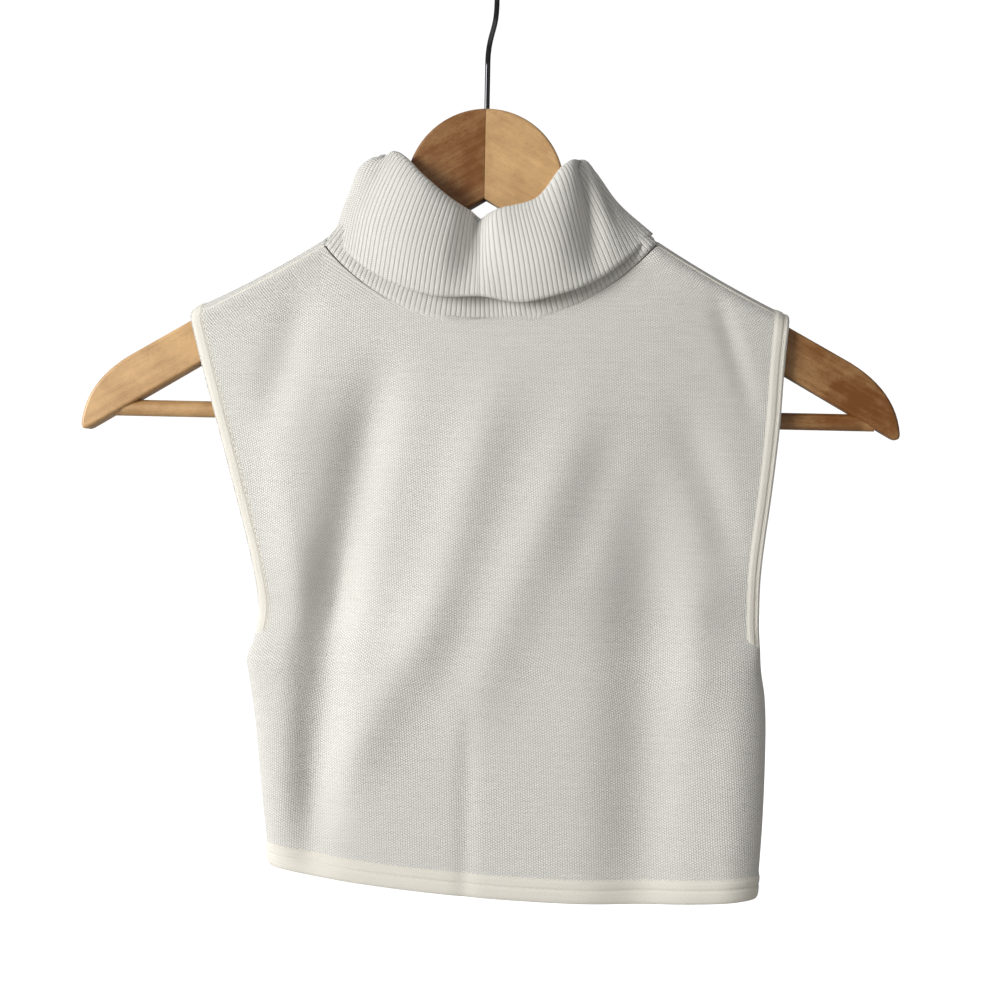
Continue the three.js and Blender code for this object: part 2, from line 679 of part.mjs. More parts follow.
// Centre line of the hook in its own plane: stem, curve out to the crook, then round to the end
function hookPath() {
  const join = THREE.MathUtils.degToRad(hook.join);
  const end = THREE.MathUtils.degToRad(hook.end);
  const onCrook = (angle) =>
    new THREE.Vector3(0, hook.bend * Math.cos(angle), hook.centreHeight + hook.bend * Math.sin(angle));
  const stemTop = new THREE.Vector3(0, 0, hook.stem);
  const meets = onCrook(join);
  const reach = meets.distanceTo(stemTop) / 3;
  const flare = new THREE.CubicBezierCurve3(
    stemTop,
    stemTop.clone().add(new THREE.Vector3(0, 0, reach)),
    meets.clone().sub(new THREE.Vector3(0, -Math.sin(join) * reach, Math.cos(join) * reach)),
    meets,
  );
  const points = [new THREE.Vector3(0, 0, -hook.screwed), new THREE.Vector3(0, 0, hook.stem / 2)];
  points.push(...flare.getPoints(5));
  const arcSteps = 16;
  for (let step = 1; step <= arcSteps; step += 1) points.push(onCrook(mix(join, end, step / arcSteps)));
  return new THREE.CatmullRomCurve3(points, false, "centripetal");
}

function hangerHook() {
  const section = new THREE.Shape();
  section.absarc(0, 0, hook.wire / 2, 0, 2 * Math.PI, false);
  const geometry = new THREE.ExtrudeGeometry(section, {
    steps: mesh.hook,
    curveSegments: 4,
    bevelEnabled: false,
    extrudePath: hookPath(),
  });
  geometry.rotateZ(THREE.MathUtils.degToRad(hook.turn - 90));
  return geometry;
}

// Materials

const knit = { color: 0xcdcbc4, roughness: 0.95, metalness: 0 };
const hemKnit = { color: 0xd3cfc6, roughness: 0.95, metalness: 0 };
const lightWood = { color: 0xb4926d, roughness: 0.45, metalness: 0 };
const darkWood = { color: 0x916841, roughness: 0.45, metalness: 0 };
const chrome = { color: 0xc8c8c8, roughness: 0.12, metalness: 1 };

function named(name, geometry, look) {
  const piece = new THREE.Mesh(geometry, new THREE.MeshStandardMaterial(look));
  piece.name = name;
  return piece;
}

// Assembly

const hung = new THREE.Group();
hung.position.z = -(hook.centreHeight + hook.bend - hook.wire / 2);
hung.add(
  named("front_panel", panel(-1, 1), knit),
  named("back_panel", panel(1, mesh.rollRows), knit),
  named("collar", ribCollar(), knit),
  named("hem_band", hemBand(), hemKnit),
  named("armhole_band_left", armholeBand(-1), hemKnit),
  named("armhole_band_right", armholeBand(1), hemKnit),
  named("hanger_arm_left", hangerArm(-1), lightWood),
  named("hanger_arm_right", hangerArm(1), darkWood),
  named("hanger_bar", hangerBar(), darkWood),
  named("hanger_hook", hangerHook(), chrome),
);

const dickey = new THREE.Group();
dickey.add(hung);

export default dickey;
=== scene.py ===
"""Turtleneck dickey on a wooden clothes hanger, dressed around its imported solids.

Everything is in metres. The drape's functions work below the top of the hanger's wood, and
HANG brings them to the part's own frame, whose origin is the inner top of the hook's crook.
"""

import math

import bpy
import numpy as np
from mathutils import Matrix, Vector


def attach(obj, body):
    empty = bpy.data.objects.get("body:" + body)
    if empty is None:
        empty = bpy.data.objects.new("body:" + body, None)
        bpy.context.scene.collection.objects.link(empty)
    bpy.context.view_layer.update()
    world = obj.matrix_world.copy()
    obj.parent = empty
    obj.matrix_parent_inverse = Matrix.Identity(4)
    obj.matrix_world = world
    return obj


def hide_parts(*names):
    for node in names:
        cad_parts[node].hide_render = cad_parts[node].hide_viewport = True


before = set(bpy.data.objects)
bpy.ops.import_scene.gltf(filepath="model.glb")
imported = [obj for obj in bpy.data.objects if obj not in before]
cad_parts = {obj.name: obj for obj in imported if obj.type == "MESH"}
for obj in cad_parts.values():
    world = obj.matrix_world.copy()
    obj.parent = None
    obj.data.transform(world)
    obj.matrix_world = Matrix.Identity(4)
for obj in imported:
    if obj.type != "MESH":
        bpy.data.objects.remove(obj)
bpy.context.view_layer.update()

bl_info = {
    "name": "Turtleneck Dickey",
    "version": (1, 0, 0),
    "blender": (4, 5, 0),
    "location": "View3D > Sidebar > Dickey",
    "description": "Builds a rib-collared knit dickey hanging on a wooden clothes hanger",
    "category": "Add Mesh",
}

MM = 0.001
BODY = "root"
HANG = np.array([0.0, 0.0, -86.55 * MM])  # top of the wood, seen from the crook's inner top

# Hanger, as its solids are
DOME_RADIUS = 43 * MM
DOME_FILLET = 9 * MM
NOTCH_DEPTH = 48.5 * MM
ARM_TOP = 52.6 * MM
ARM_TOP_START = 50 * MM
TOP_SLOPE = 0.566
LOWER_SLOPE = 0.58
TIP_LENGTH = 26 * MM
TIP_LEAN = 2 * MM
TIP_ROUND = 5 * MM
BAR_DROP = 165 * MM
BAR_BEDDED = 13 * MM
BAR_TILT = math.radians(0.44)
JOINT_GAP = 0.12 * MM  # from the centre plane to each half of the wood
HOOK_STEM, HOOK_SCREWED = 26 * MM, 18 * MM  # straight part above the wood, and in it
HOOK_JOIN, HOOK_END = math.radians(-38), math.radians(168)  # where the crook starts and ends
HOOK_TURN = math.radians(-5)  # the hook's plane from the hanger's

# How the body lies over the arms
ROLL = 10 * MM
NECK_TOP = 72.8 * MM
LIFT_LEFT, LIFT_LEFT_END, LIFT_RIGHT = 4 * MM, 6.6 * MM, 6.2 * MM
SAG_LEFT, SAG_RIGHT = 1.9 * MM, 1.6 * MM
SEAM_LEFT, SEAM_RIGHT = 5.5 * MM, 3 * MM
SIDE_ROUND = 5.0
NECK_CENTRE = 3.5 * MM
NECK_RISE = 30 * MM
NECK_ROUNDNESS = 0.9
NECK_CROSSING = 0.05
ROW_SETTLING = 7  # how soon rows of the mesh run level below a neckline
HEM_SAG, HEM_TILT, HEM_SIDE = 7.8 * MM, 3.7 * MM, 341.5 * MM
ARMHOLE_BOTTOM = 213 * MM
ARMHOLE_TURN = 3 * MM
TUCK = 0.6 * MM  # length of a panel under its seam or the collar
COLLAR_TUCK = 0.4 * MM  # length of the collar over the panels
STITCH_GAP = 0.7 * MM
STITCH_HOLLOW = 0.6 * MM  # half width of the hollow that a row of stitches pulls in
BAND_FADE = 2.2 * MM  # width over which a band's inner edge sinks to the cloth
BAND_CLEAR = 0.05 * MM
ROW_BELOW_HEM_EDGE = 0.5 * MM
ROW_LEFT, ROW_RIGHT = 1.2 * MM, 2.6 * MM  # of an armhole: from the inner, and from the free edge
SEAM_RADIUS = 1.1 * MM
WALE, HEM_COURSE = 1.27 * MM, 1.1 * MM  # widths of a column and a row of loops

# Side outline: drop below the neck points as a share of the length, then the left and right edges
# as shares of half the shoulder width
OUTLINE = np.array([
    (0.117, -0.983, 1.003),
    (0.186, -0.942, 0.99),
    (0.277, -0.885, 0.978),
    (0.371, -0.829, 0.958),
    (0.494, -0.761, 0.928),
    (0.571, -0.735, 0.924),
    (0.62, -0.75, 0.93),
    (0.646, -0.77, 0.934),
    (0.686, -0.757, 0.947),
    (0.746, -0.736, 0.952),
    (0.871, -0.705, 0.947),
    (1, -0.668, 0.931),
])

# Depth of the cloth: drop as above, then the middle and the edge as shares of the body's depth
FRONT_DEPTH = np.array([
    (0, 0.5, 0.5),
    (0.07, 0.8, 0.5),
    (0.13, 1, 0.5),
    (0.27, 1, 0.54),
    (0.44, 0.95, 0.42),
    (0.61, 1, 0.21),
    (0.65, 1.02, 0.01),
    (0.75, 1.05, 0.01),
    (1, 1.1, 0.01),
])
BACK_DEPTH = np.array([
    (0, 0.5, 0.5),
    (0.07, 0.95, 0.5),
    (0.13, 0.9, 0.5),
    (0.27, 0.75, 0.54),
    (0.44, 0.7, 0.42),
    (0.61, 0.8, 0.21),
    (0.65, 0.85, 0.01),
    (0.75, 0.9, 0.01),
    (1, 1, 0.01),
])

# Folds of the cloth: x, drop at one end, x, drop at the other, width, swell outward and lean, as
# shares of half the shoulder width, the length and the depth. A lean over 0 is steeper on its right.
FRONT_FOLDS = (
    (-0.36, 0.22, -0.52, 0.6, 0.09, -0.32, -0.7),
    (-0.5, 0.5, -0.56, 0.92, 0.09, -0.38, -0.75),
    (-0.58, 0.05, -0.7, 0.27, 0.07, -0.14, 0.0),
    (-0.6, 0.24, -0.64, 0.52, 0.12, 0.2, 0.0),
    (0.05, 0.24, -0.16, 0.64, 0.09, 0.18, 0.0),
    (-0.14, 0.56, -0.42, 0.82, 0.09, 0.18, 0.0),
    (0.33, 0.28, -0.01, 0.72, 0.09, 0.15, 0.0),
    (0.44, 0.3, 0.32, 0.5, 0.07, -0.08, 0.0),
    (0.53, 0.38, 0.52, 1.02, 0.13, -0.3, -0.7),
    (0.67, 0.27, 0.87, 0.5, 0.07, -0.14, 0.0),
    (0.765, 0.08, 0.9, 0.26, 0.035, -0.1, 0.0),
    (0.58, 0.0, 0.565, 0.07, 0.035, -0.09, 0.0),
    (-0.01, 0.72, -0.01, 1.03, 0.03, -0.045, 0.0),
    (0.92, 0.66, 0.9, 1.06, 0.09, 0.2, 0.0),
    (0.72, 0.52, 0.72, 0.7, 0.07, 0.08, 0.0),
    (-0.75, 0.262, 0.85, 0.257, 0.018, 0.022, 0.0),
)
BACK_FOLDS = (
    (-0.3, 0.3, -0.42, 1.05, 0.12, 0.24, 0.0),
    (0.1, 0.25, 0.06, 1.05, 0.12, -0.2, 0.0),
    (0.45, 0.3, 0.6, 1.05, 0.12, 0.24, 0.0),
)

# Collar's fold by the way it faces, in degrees from the front towards +X: place of the seam below
# it, then x, y and z as shares of its half width, its depth and the collar's height
COLLAR_FOLD = np.array([
    (0, 0, -0.02, -0.53, 0.635),
    (12, 0.22, 0.26, -0.92, 0.66),
    (22, 0.47, 0.53, -1, 0.71),
    (38, 0.66, 0.75, -0.88, 0.88),
    (60, 0.86, 0.885, -0.41, 0.945),
    (88, 1, 0.96, 0.18, 0.93),
    (125, 0.86, 0.86, 0.76, 0.865),
    (155, 0.5, 0.49, 1, 0.71),
    (180, 0, 0, 0.82, 0.61),
    (205, -0.5, -0.53, 1, 0.72),
    (235, -0.86, -0.98, 0.7, 0.95),
    (270, -1, -1.05, 0.12, 0.965),
    (298, -0.78, -0.84, -0.47, 0.985),
    (332, -0.52, -0.53, -1, 0.82),
    (348, -0.25, -0.25, -0.92, 0.69),
])

# Its free edge: x, y and z as shares of half its width, its depth and the collar's height, then how
# far the turned-down layer swells as a share of the puff
COLLAR_EDGE = np.array([
    (0, 0, -0.83, 0.16, -0.3),
    (12, 0.27, -0.87, 0.13, 0.5),
    (22, 0.52, -0.84, 0.18, 0.8),
    (38, 0.71, -0.74, 0.25, -0.1),
    (60, 0.91, -0.5, 0.385, 0.1),
    (88, 1.05, -0.07, 0.536, -0.5),
    (125, 0.93, 0.63, 0.48, 0.2),
    (155, 0.58, 1, 0.3, 0.5),
    (180, 0, 1.03, 0.24, 0),
    (205, -0.56, 0.97, 0.3, 0.5),
    (235, -0.86, 0.6, 0.45, 0.5),
    (270, -0.95, -0.03, 0.54, 0.5),
    (298, -0.79, -0.53, 0.375, 0.6),
    (332, -0.52, -0.82, 0.23, 0.6),
    (348, -0.26, -0.88, 0.16, 0.5),
])

# Dents and swells of the collar: turn and place at one end, turn and place at the other, width in
# metres and how far it stands out. Place runs from -1 at the seam over 0 at the fold to 1 at the edge.
COLLAR_FOLDS = (
    (0.5, -0.2, 358, 0.5, 4 * MM, -3.5 * MM),
    (9, 0.15, 2, 0.95, 7 * MM, 3 * MM),
    (62, 0.05, 41, 0.85, 8 * MM, -4 * MM),
    (79, 0.3, 64, 0.7, 5 * MM, -2 * MM),
    (287, -0.2, 290, 0.3, 5 * MM, -3 * MM),
    (256, 0.4, 290, 0.42, 10 * MM, 4 * MM),
)


# Number helpers


def mix(first, second, share):
    return first + (second - first) * share


def smoothstep(low, high, value):
    share = np.clip((value - low) / (high - low), 0, 1)
    return share * share * (3 - 2 * share)


def read_table(table, column, at):
    """A column of a table read between its rows, as a smooth curve through them."""
    keys, values = table[:, 0], table[:, column]
    at = np.clip(at, keys[0], keys[-1])
    last = len(keys) - 1
    row = np.clip(np.searchsorted(keys, at, side="right") - 1, 0, last - 1)
    ahead = np.minimum(np.arange(last + 1) + 1, last)
    behind = np.maximum(np.arange(last + 1) - 1, 0)
    slope = (values[ahead] - values[behind]) / (keys[ahead] - keys[behind])
    width = keys[row + 1] - keys[row]
    share = (at - keys[row]) / width
    start_pull = share * (1 - share) ** 2 * width * slope[row]
    end_pull = share**2 * (share - 1) * width * slope[row + 1]
    blend = share * share * (3 - 2 * share)
    return mix(values[row], values[row + 1], blend) + start_pull + end_pull


def read_round(table, column, turn):
    """The same for a table in degrees that goes once round."""
    before, after = table[-2:].copy(), table[:2].copy()
    before[:, 0] -= 360
    after[:, 0] += 360
    return read_table(np.vstack([before, table, after]), column, turn)


def unit(vectors):
    return vectors / np.maximum(np.linalg.norm(vectors, axis=-1, keepdims=True), 1e-12)


def grid_normals(grid, loop, facing):
    """Normals of a grid of points, grid[column, row]. It closes across its columns with loop."""
    if loop:
        across = np.roll(grid, -1, axis=0) - np.roll(grid, 1, axis=0)
    else:
        across = np.gradient(grid, axis=0)
    down = np.gradient(grid, axis=1)
    return unit(np.cross(across, down)) * facing


def length_along(points, axis):
    """Length run through along an axis of a grid, from 0 at its first points."""
    steps = np.linalg.norm(np.diff(points, axis=axis), axis=-1)
    start = np.zeros_like(np.take(steps, [0], axis=axis))
    return np.concatenate([start, np.cumsum(steps, axis=axis)], axis=axis)


# Mesh helpers


def quad_mesh(name, points, quads, flat_uv=None):
    """A mesh of quads with outward faces, whose UV map holds the cloth's own flat lengths."""
    points = np.asarray(points, dtype=np.float64).reshape(-1, 3)
    quads = np.asarray(quads, dtype=np.int32).reshape(-1, 4)
    corner = points[quads]
    volume = 0
    for a, b, c in ((0, 1, 2), (0, 2, 3)):
        volume += np.einsum("ij,ij->", corner[:, a], np.cross(corner[:, b], corner[:, c]))
    if volume < 0:
        quads = quads[:, ::-1]
    mesh = bpy.data.meshes.new(name)
    mesh.vertices.add(len(points))
    mesh.vertices.foreach_set("co", (points + HANG).astype(np.float32).ravel())
    mesh.loops.add(quads.size)
    mesh.loops.foreach_set("vertex_index", quads.ravel())
    mesh.polygons.add(len(quads))
    mesh.polygons.foreach_set("loop_start", np.arange(0, quads.size, 4, dtype=np.int32))
    if flat_uv is not None:
        layer = mesh.uv_layers.new(name="flat_cloth")
        layer.uv.foreach_set("vector", np.asarray(flat_uv, dtype=np.float32)[quads.ravel()].ravel())
    mesh.update(calc_edges=True)
    mesh.validate()
    mesh.polygons.foreach_set("use_smooth", np.ones(len(quads), dtype=bool))
    return mesh


def shell(outer, inner, loop=False):
    """Points and quads of a closed wall between two grids of the same shape."""
    columns, rows = outer.shape[:2]
    shift = columns * rows
    index = np.arange(shift).reshape(columns, rows)
    ring = np.vstack([index, index[:1]]) if loop else index

    def faces(grid):
        return np.stack([grid[:-1, :-1], grid[:-1, 1:], grid[1:, 1:], grid[1:, :-1]], axis=-1).reshape(-1, 4)

    def rim(line):
        return np.stack([line[:-1], line[1:], line[1:] + shift, line[:-1] + shift], axis=-1)

    parts = [faces(ring), faces(ring)[:, ::-1] + shift, rim(ring[:, 0]), rim(ring[:, -1])[:, ::-1]]
    if not loop:
        parts += [rim(index[0])[:, ::-1], rim(index[-1])]
    return np.vstack([outer.reshape(-1, 3), inner.reshape(-1, 3)]), np.vstack(parts)


def tube(path, radii, sides=8, loop=False):
    """Points and quads of a round or flattened tube along a path, closed at its ends."""
    path = np.asarray(path, dtype=float)
    ahead = np.roll(path, -1, axis=0) - np.roll(path, 1, axis=0)
    if not loop:
        ahead[0], ahead[-1] = path[1] - path[0], path[-1] - path[-2]
    ahead = unit(ahead)
    side = np.cross(ahead, (0.0, 0.0, 1.0))
    weak = np.linalg.norm(side, axis=1) < 0.05
    side[weak] = np.cross(ahead[weak], (0.0, 1.0, 0.0))
    side = unit(side)
    for step in range(1, len(side)):
        if np.dot(side[step], side[step - 1]) < 0:
            side[step] *= -1
    up = np.cross(side, ahead)
    turn = np.linspace(0, 2 * np.pi, sides, endpoint=False)
    wide = np.broadcast_to(np.asarray(radii, dtype=float), (len(path),))[:, None, None]
    round_it = np.cos(turn)[:, None] * side[:, None] + np.sin(turn)[:, None] * up[:, None]
    ring = path[:, None] + wide * round_it
    index = np.arange(ring.shape[0] * sides).reshape(-1, sides)
    wrapped = np.hstack([index, index[:, :1]])
    if loop:
        wrapped = np.vstack([wrapped, wrapped[:1]])
    quads = np.stack([wrapped[:-1, :-1], wrapped[1:, :-1], wrapped[1:, 1:], wrapped[:-1, 1:]], axis=-1)
    quads = [quads.reshape(-1, 4)]
    if not loop:
        half = sides // 2
        for line in (index[0], index[-1][::-1]):
            strip = [
                (line[k], line[k + 1], line[sides - 2 - k], line[sides - 1 - k]) for k in range(half - 1)
            ]
            quads.append(np.array(strip)[:, ::-1])
    return ring.reshape(-1, 3), np.vstack(quads)


def joined(pieces):
    """Several pieces' points and quads as one."""
    points, quads, count = [], [], 0
    for piece_points, piece_quads in pieces:
        points.append(piece_points)
        quads.append(piece_quads + count)
        count += len(piece_points)
    return np.vstack(points), np.vstack(quads)


def add_piece(name, mesh, material, replaces=()):
    """Puts a finished mesh in the scene as a piece of the hanging body."""
    old = bpy.data.objects.get(name)
    if old is not None:
        bpy.data.objects.remove(old)
    mesh.materials.append(material)
    piece = bpy.data.objects.new(name, mesh)
    bpy.context.collection.objects.link(piece)
    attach(piece, BODY)
    if replaces:
        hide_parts(*replaces)
    return piece


# Drape of the body


class Drape:
    """How the body's cloth lies over the hanger, worked out from the garment's sizes."""

    def __init__(self, sizes):
        self.half = sizes.shoulder_half
        self.length = sizes.length
        self.depth_size = sizes.depth
        self.cloth = sizes.thickness
        self.folds = sizes.fold_strength
        self.neck_half = sizes.neck_half_width
        self.front_drop = sizes.neck_front_drop
        self.back_drop = sizes.neck_back_drop
        self.neck_left = NECK_CENTRE - self.neck_half
        self.neck_right = NECK_CENTRE + self.neck_half
        self.left = OUTLINE[0, 1] * self.half
        self.right = OUTLINE[0, 2] * self.half

    def across(self, x):
        return 2 * (x - self.left) / (self.right - self.left) - 1

    def shoulder_x(self, u):
        return mix(self.left, self.right, (u + 1) / 2)

    def down(self, z):
        return (-z - NECK_TOP) / self.length

    def arm_top(self, x):
        return -ARM_TOP - TOP_SLOPE * (np.abs(x) - ARM_TOP_START)

    def ridge(self, x):
        """Height of the cloth's ridge along the shoulders, and of the line between the neck points."""
        start = self.arm_top(self.neck_left) + LIFT_LEFT
        end = self.arm_top(self.neck_right) + LIFT_RIGHT
        place = np.clip((x - NECK_CENTRE) / self.neck_half, -1, 1)
        between = mix(start, end, (place + 1) / 2) + NECK_RISE * (1 - place**2)
        outward = (self.neck_left - x) / (self.neck_left - self.left)
        on_left = mix(LIFT_LEFT, LIFT_LEFT_END, outward) - 4 * SAG_LEFT * outward * (1 - outward)
        outward = (x - self.neck_right) / (self.right - self.neck_right)
        on_right = LIFT_RIGHT - 4 * SAG_RIGHT * outward * (1 - outward)
        beside = self.arm_top(x) + np.where(x < NECK_CENTRE, on_left, on_right)
        return np.where(np.abs(place) < 1, between, beside)

    def drop_of(self, way):
        turn = np.abs(way) / ROLL
        return np.where(turn < np.pi / 2, ROLL * (1 - np.cos(turn)), ROLL * (1 + turn - np.pi / 2))

    def way_of(self, drop):
        curved = ROLL * np.arccos(np.clip(1 - drop / ROLL, -1, 1))
        return np.where(drop < ROLL, curved, drop - ROLL + ROLL * np.pi / 2)

    def swell(self, folds, x, z):
        total = np.zeros_like(x)
        drop = self.down(z) * self.length
        for x1, down1, x2, down2, width, swell, lean in folds:
            start_x, start_drop = x1 * self.half, down1 * self.length
            along_x, along_drop = x2 * self.half - start_x, down2 * self.length - start_drop
            size = math.hypot(along_x, along_drop)
            share = ((x - start_x) * along_x + (drop - start_drop) * along_drop) / size**2
            aside = ((x - start_x) * along_drop - (drop - start_drop) * along_x) / size
            aside /= width * self.half
            ends = smoothstep(-0.25, 0.25, share) * smoothstep(-1.25, -0.75, -share)
            profile = np.exp(-(aside**2)) * (1 - lean * aside)
            total += swell * self.depth_size * ends * profile
        return total

    def depth(self, side, u, x, z):
        """Depth of the cloth from the hanger's centre plane, on the front at -1 or the back at 1."""
        table, folds = (FRONT_DEPTH, FRONT_FOLDS) if side < 0 else (BACK_DEPTH, BACK_FOLDS)
        down = self.down(z)
        middle = read_table(table, 1, down) * self.depth_size
        edge = read_table(table, 2, down) * self.depth_size
        across = np.minimum(np.abs(u), 1)
        opened = 1 - across**2
        closed = (1 - across**SIDE_ROUND) ** (1 / SIDE_ROUND)
        bulge = mix(opened, closed, smoothstep(0.56, 0.66, down))
        free = smoothstep(0, 0.22, 1 - across) * smoothstep(0.02, 0.14, down)
        return edge + (middle - edge) * bulge + self.swell(folds, x, z) * self.folds * free

    def point(self, side, u, way):
        """A point of the outer face: u runs -1 to 1 across, way is the length from the ridge."""
        u, way = np.broadcast_arrays(np.asarray(u, dtype=float), np.asarray(way, dtype=float))
        z = self.ridge(self.shoulder_x(u)) - self.drop_of(way)
        down = self.down(z)
        left = read_table(OUTLINE, 1, down) * self.half
        right = read_table(OUTLINE, 2, down) * self.half
        x = mix(left, right, (u + 1) / 2)
        turn = np.minimum(np.abs(way) / ROLL, np.pi / 2)
        face = np.where(way < 0, -side, side)
        depth = np.where(face < 0, self.depth(-1, u, x, z), self.depth(1, u, x, z))
        return np.stack([x, face * np.sin(turn) * depth, z], axis=-1)

    def normal(self, side, u, way):
        """Outward normal of the body's face."""
        step_across, step_down = 0.004, 0.5 * MM
        right = self.point(side, np.minimum(u + step_across, 1), way)
        left = self.point(side, np.maximum(u - step_across, -1), way)
        down = self.point(side, u, way + step_down) - self.point(side, u, way - step_down)
        return unit(np.cross(right - left, down)) * side

    def seam_drop(self, u):
        return np.where(u < NECK_CENTRE / self.half, SEAM_LEFT, SEAM_RIGHT)

    def top_way(self, side, u):
        """Where a panel starts: at the shoulder seam, or at the neckline between the neck points."""
        u = np.asarray(u, dtype=float)
        x = self.shoulder_x(u)
        place = np.clip((x - NECK_CENTRE) / self.neck_half, -1, 1)
        seam_way = self.way_of(self.seam_drop(u))
        start = self.ridge(np.float64(self.neck_left)) - SEAM_LEFT
        end = self.ridge(np.float64(self.neck_right)) - SEAM_RIGHT
        drop = self.front_drop if side < 0 else self.back_drop
        z = mix(start, end, (place + 1) / 2) - drop * (1 - place**2) ** NECK_ROUNDNESS
        way = self.way_of(np.maximum(self.ridge(x) - z, 0))
        if side < 0:
            return np.where(np.abs(place) < 1, way, seam_way)
        return mix(-seam_way, way, smoothstep(0, NECK_CROSSING, 1 - np.abs(place)))

    def hem_way(self, u, above):
        drop = NECK_TOP + HEM_SIDE + HEM_TILT * u + HEM_SAG * (1 - u**2)
        return self.way_of(self.ridge(self.shoulder_x(u)) + drop - above)

    def flat_lengths(self, grid, u, way):
        """Lengths on the flat cloth: across from the middle wale, and down from one level course."""
        run = length_along(grid, 0)
        middle = np.argmin(np.abs(u))
        across = run - run[middle]
        return across, way - self.ridge(self.shoulder_x(u))[:, None]


def knit_panel(drape, side, columns, rows, hem_height):
    """The cloth of one side from its seam and neckline down into the hem, as a thin closed wall."""
    u = np.sin(np.linspace(-np.pi / 2, np.pi / 2, columns))
    top = drape.top_way(side, u) - TUCK
    bottom = drape.hem_way(u, hem_height * 0.3)
    share = np.linspace(0, 1, rows)
    level = top.min()
    way = level + (bottom - level)[:, None] * share + (top - level)[:, None] * (1 - share) ** ROW_SETTLING
    outer = drape.point(side, u[:, None], way)
    normals = drape.normal(side, u[:, None], way)
    inner = outer - normals * drape.cloth
    across, down = drape.flat_lengths(outer, u, way)
    flat = np.stack([across, down], axis=-1).reshape(-1, 2)
    points, quads = shell(outer, inner)
    name = "front" if side < 0 else "back"
    return quad_mesh(f"knit_{name}", points, quads, np.vstack([flat, flat]))


def hem_ring(drape, above, columns=420):
    """Points and outward normals of the hem, at set heights above its edge, once round."""
    u = np.sin(np.linspace(-np.pi / 2, np.pi / 2, columns // 2 + 1))[:-1]
    rise = np.asarray(above)[None, :]
    front = drape.point(-1, u[:, None], drape.hem_way(u[:, None], rise))
    back = drape.point(1, -u[:, None], drape.hem_way(-u[:, None], rise))
    grid = np.concatenate([front, back])
    return grid, grid_normals(grid, True, 1)


def armhole_loop(drape, hand, distances, rows=90):
    """A grid round one armhole, hand -1 on the left, whose rows lie in from the free edge."""
    distances = np.asarray(distances, dtype=float)
    bottom_z = -NECK_TOP - ARMHOLE_BOTTOM
    bottom_way = float(drape.way_of(drape.ridge(np.float64(drape.shoulder_x(hand))) - bottom_z))
    place = hand * (1 - distances / drape.half)
    quarter = ROLL * np.pi / 2
    ways = np.concatenate([np.linspace(0, quarter, 8)[:-1], np.linspace(quarter, bottom_way, rows)])
    front = drape.point(-1, place[None, :], ways[:, None])
    back = drape.point(1, place[None, :], ways[:, None])[::-1]
    turn = np.linspace(0, np.pi, 14)[1:-1, None]
    ends = mix(front[-1][None], back[0][None], ((1 - np.cos(turn)) / 2)[..., None])
    ends[..., 0] = mix(ends[..., 0], front[-1][0, 0], 1 - np.abs(np.cos(turn)))
    ends[..., 2] -= (ARMHOLE_TURN + distances[None, :]) * np.sin(turn)
    return np.concatenate([front, ends, back[:-1]])


def stitch_row(path, normals, stitch, gap, radius, sink=0.3):
    """Short threads laid one after the other along a path, each bowed up between its two holes."""
    run = length_along(path, 0)
    count = int(run[-1] // (stitch + gap))
    steps = np.linspace(0, 1, 6)
    pieces = []
    for number in range(count):
        at = (number * (stitch + gap) + steps * stitch) + gap / 2
        place = np.stack([np.interp(at, run, path[:, axis]) for axis in range(3)], axis=-1)
        lift = unit(np.stack([np.interp(at, run, normals[:, axis]) for axis in range(3)], axis=-1))
        bow = (np.sin(np.pi * steps) ** 0.6 - sink) * radius * 1.5
        pieces.append(tube(place + lift * bow[:, None], radius * np.array([0.6, 0.95, 1, 1, 0.95, 0.6]), 6))
    return joined(pieces)


# Collar


def collar_points(drape, collar, turns):
    """The collar's profile at each turn: seven points from the seam up, over the fold and down."""
    side = np.where((turns <= 90) | (turns >= 270), -1, 1)
    seam = np.clip(read_round(COLLAR_FOLD, 1, turns), -1, 1)
    u = drape.across(NECK_CENTRE + seam * drape.neck_half)
    middle = drape.across(NECK_CENTRE)
    base = float(drape.point(-1, middle, drape.top_way(-1, middle))[..., 2])
    facing = np.radians(turns)
    outward = np.stack([np.sin(facing), -np.cos(facing), np.zeros_like(facing)], axis=-1)
    up = np.array([0.0, 0.0, 1.0])

    def place(table, first, half, depth):
        return np.stack([
            read_round(table, first, turns) * half,
            read_round(table, first + 1, turns) * depth,
            base + read_round(table, first + 2, turns) * collar.height,
        ], axis=-1)

    fold = place(COLLAR_FOLD, 2, collar.top_half, collar.top_depth)
    edge = place(COLLAR_EDGE, 1, collar.edge_half, collar.edge_depth)
    puff = (read_round(COLLAR_EDGE, 4, turns) * collar.puff)[:, None]
    front = drape.point(-1, u, drape.top_way(-1, u) - COLLAR_TUCK)
    back = drape.point(1, u, drape.top_way(1, u) - COLLAR_TUCK)
    start = np.where(side[:, None] < 0, front, back) - outward * collar.wall / 2
    inner = fold - outward * collar.roll_radius - up * collar.roll_radius
    outer = fold + outward * collar.roll_radius - up * collar.roll_radius
    return np.stack([
        start,
        mix(start, inner, 0.5) - outward * collar.roll_radius / 4,
        inner,
        fold,
        outer,
        mix(outer, edge, 0.5) + outward * puff,
        edge,
    ], axis=1)


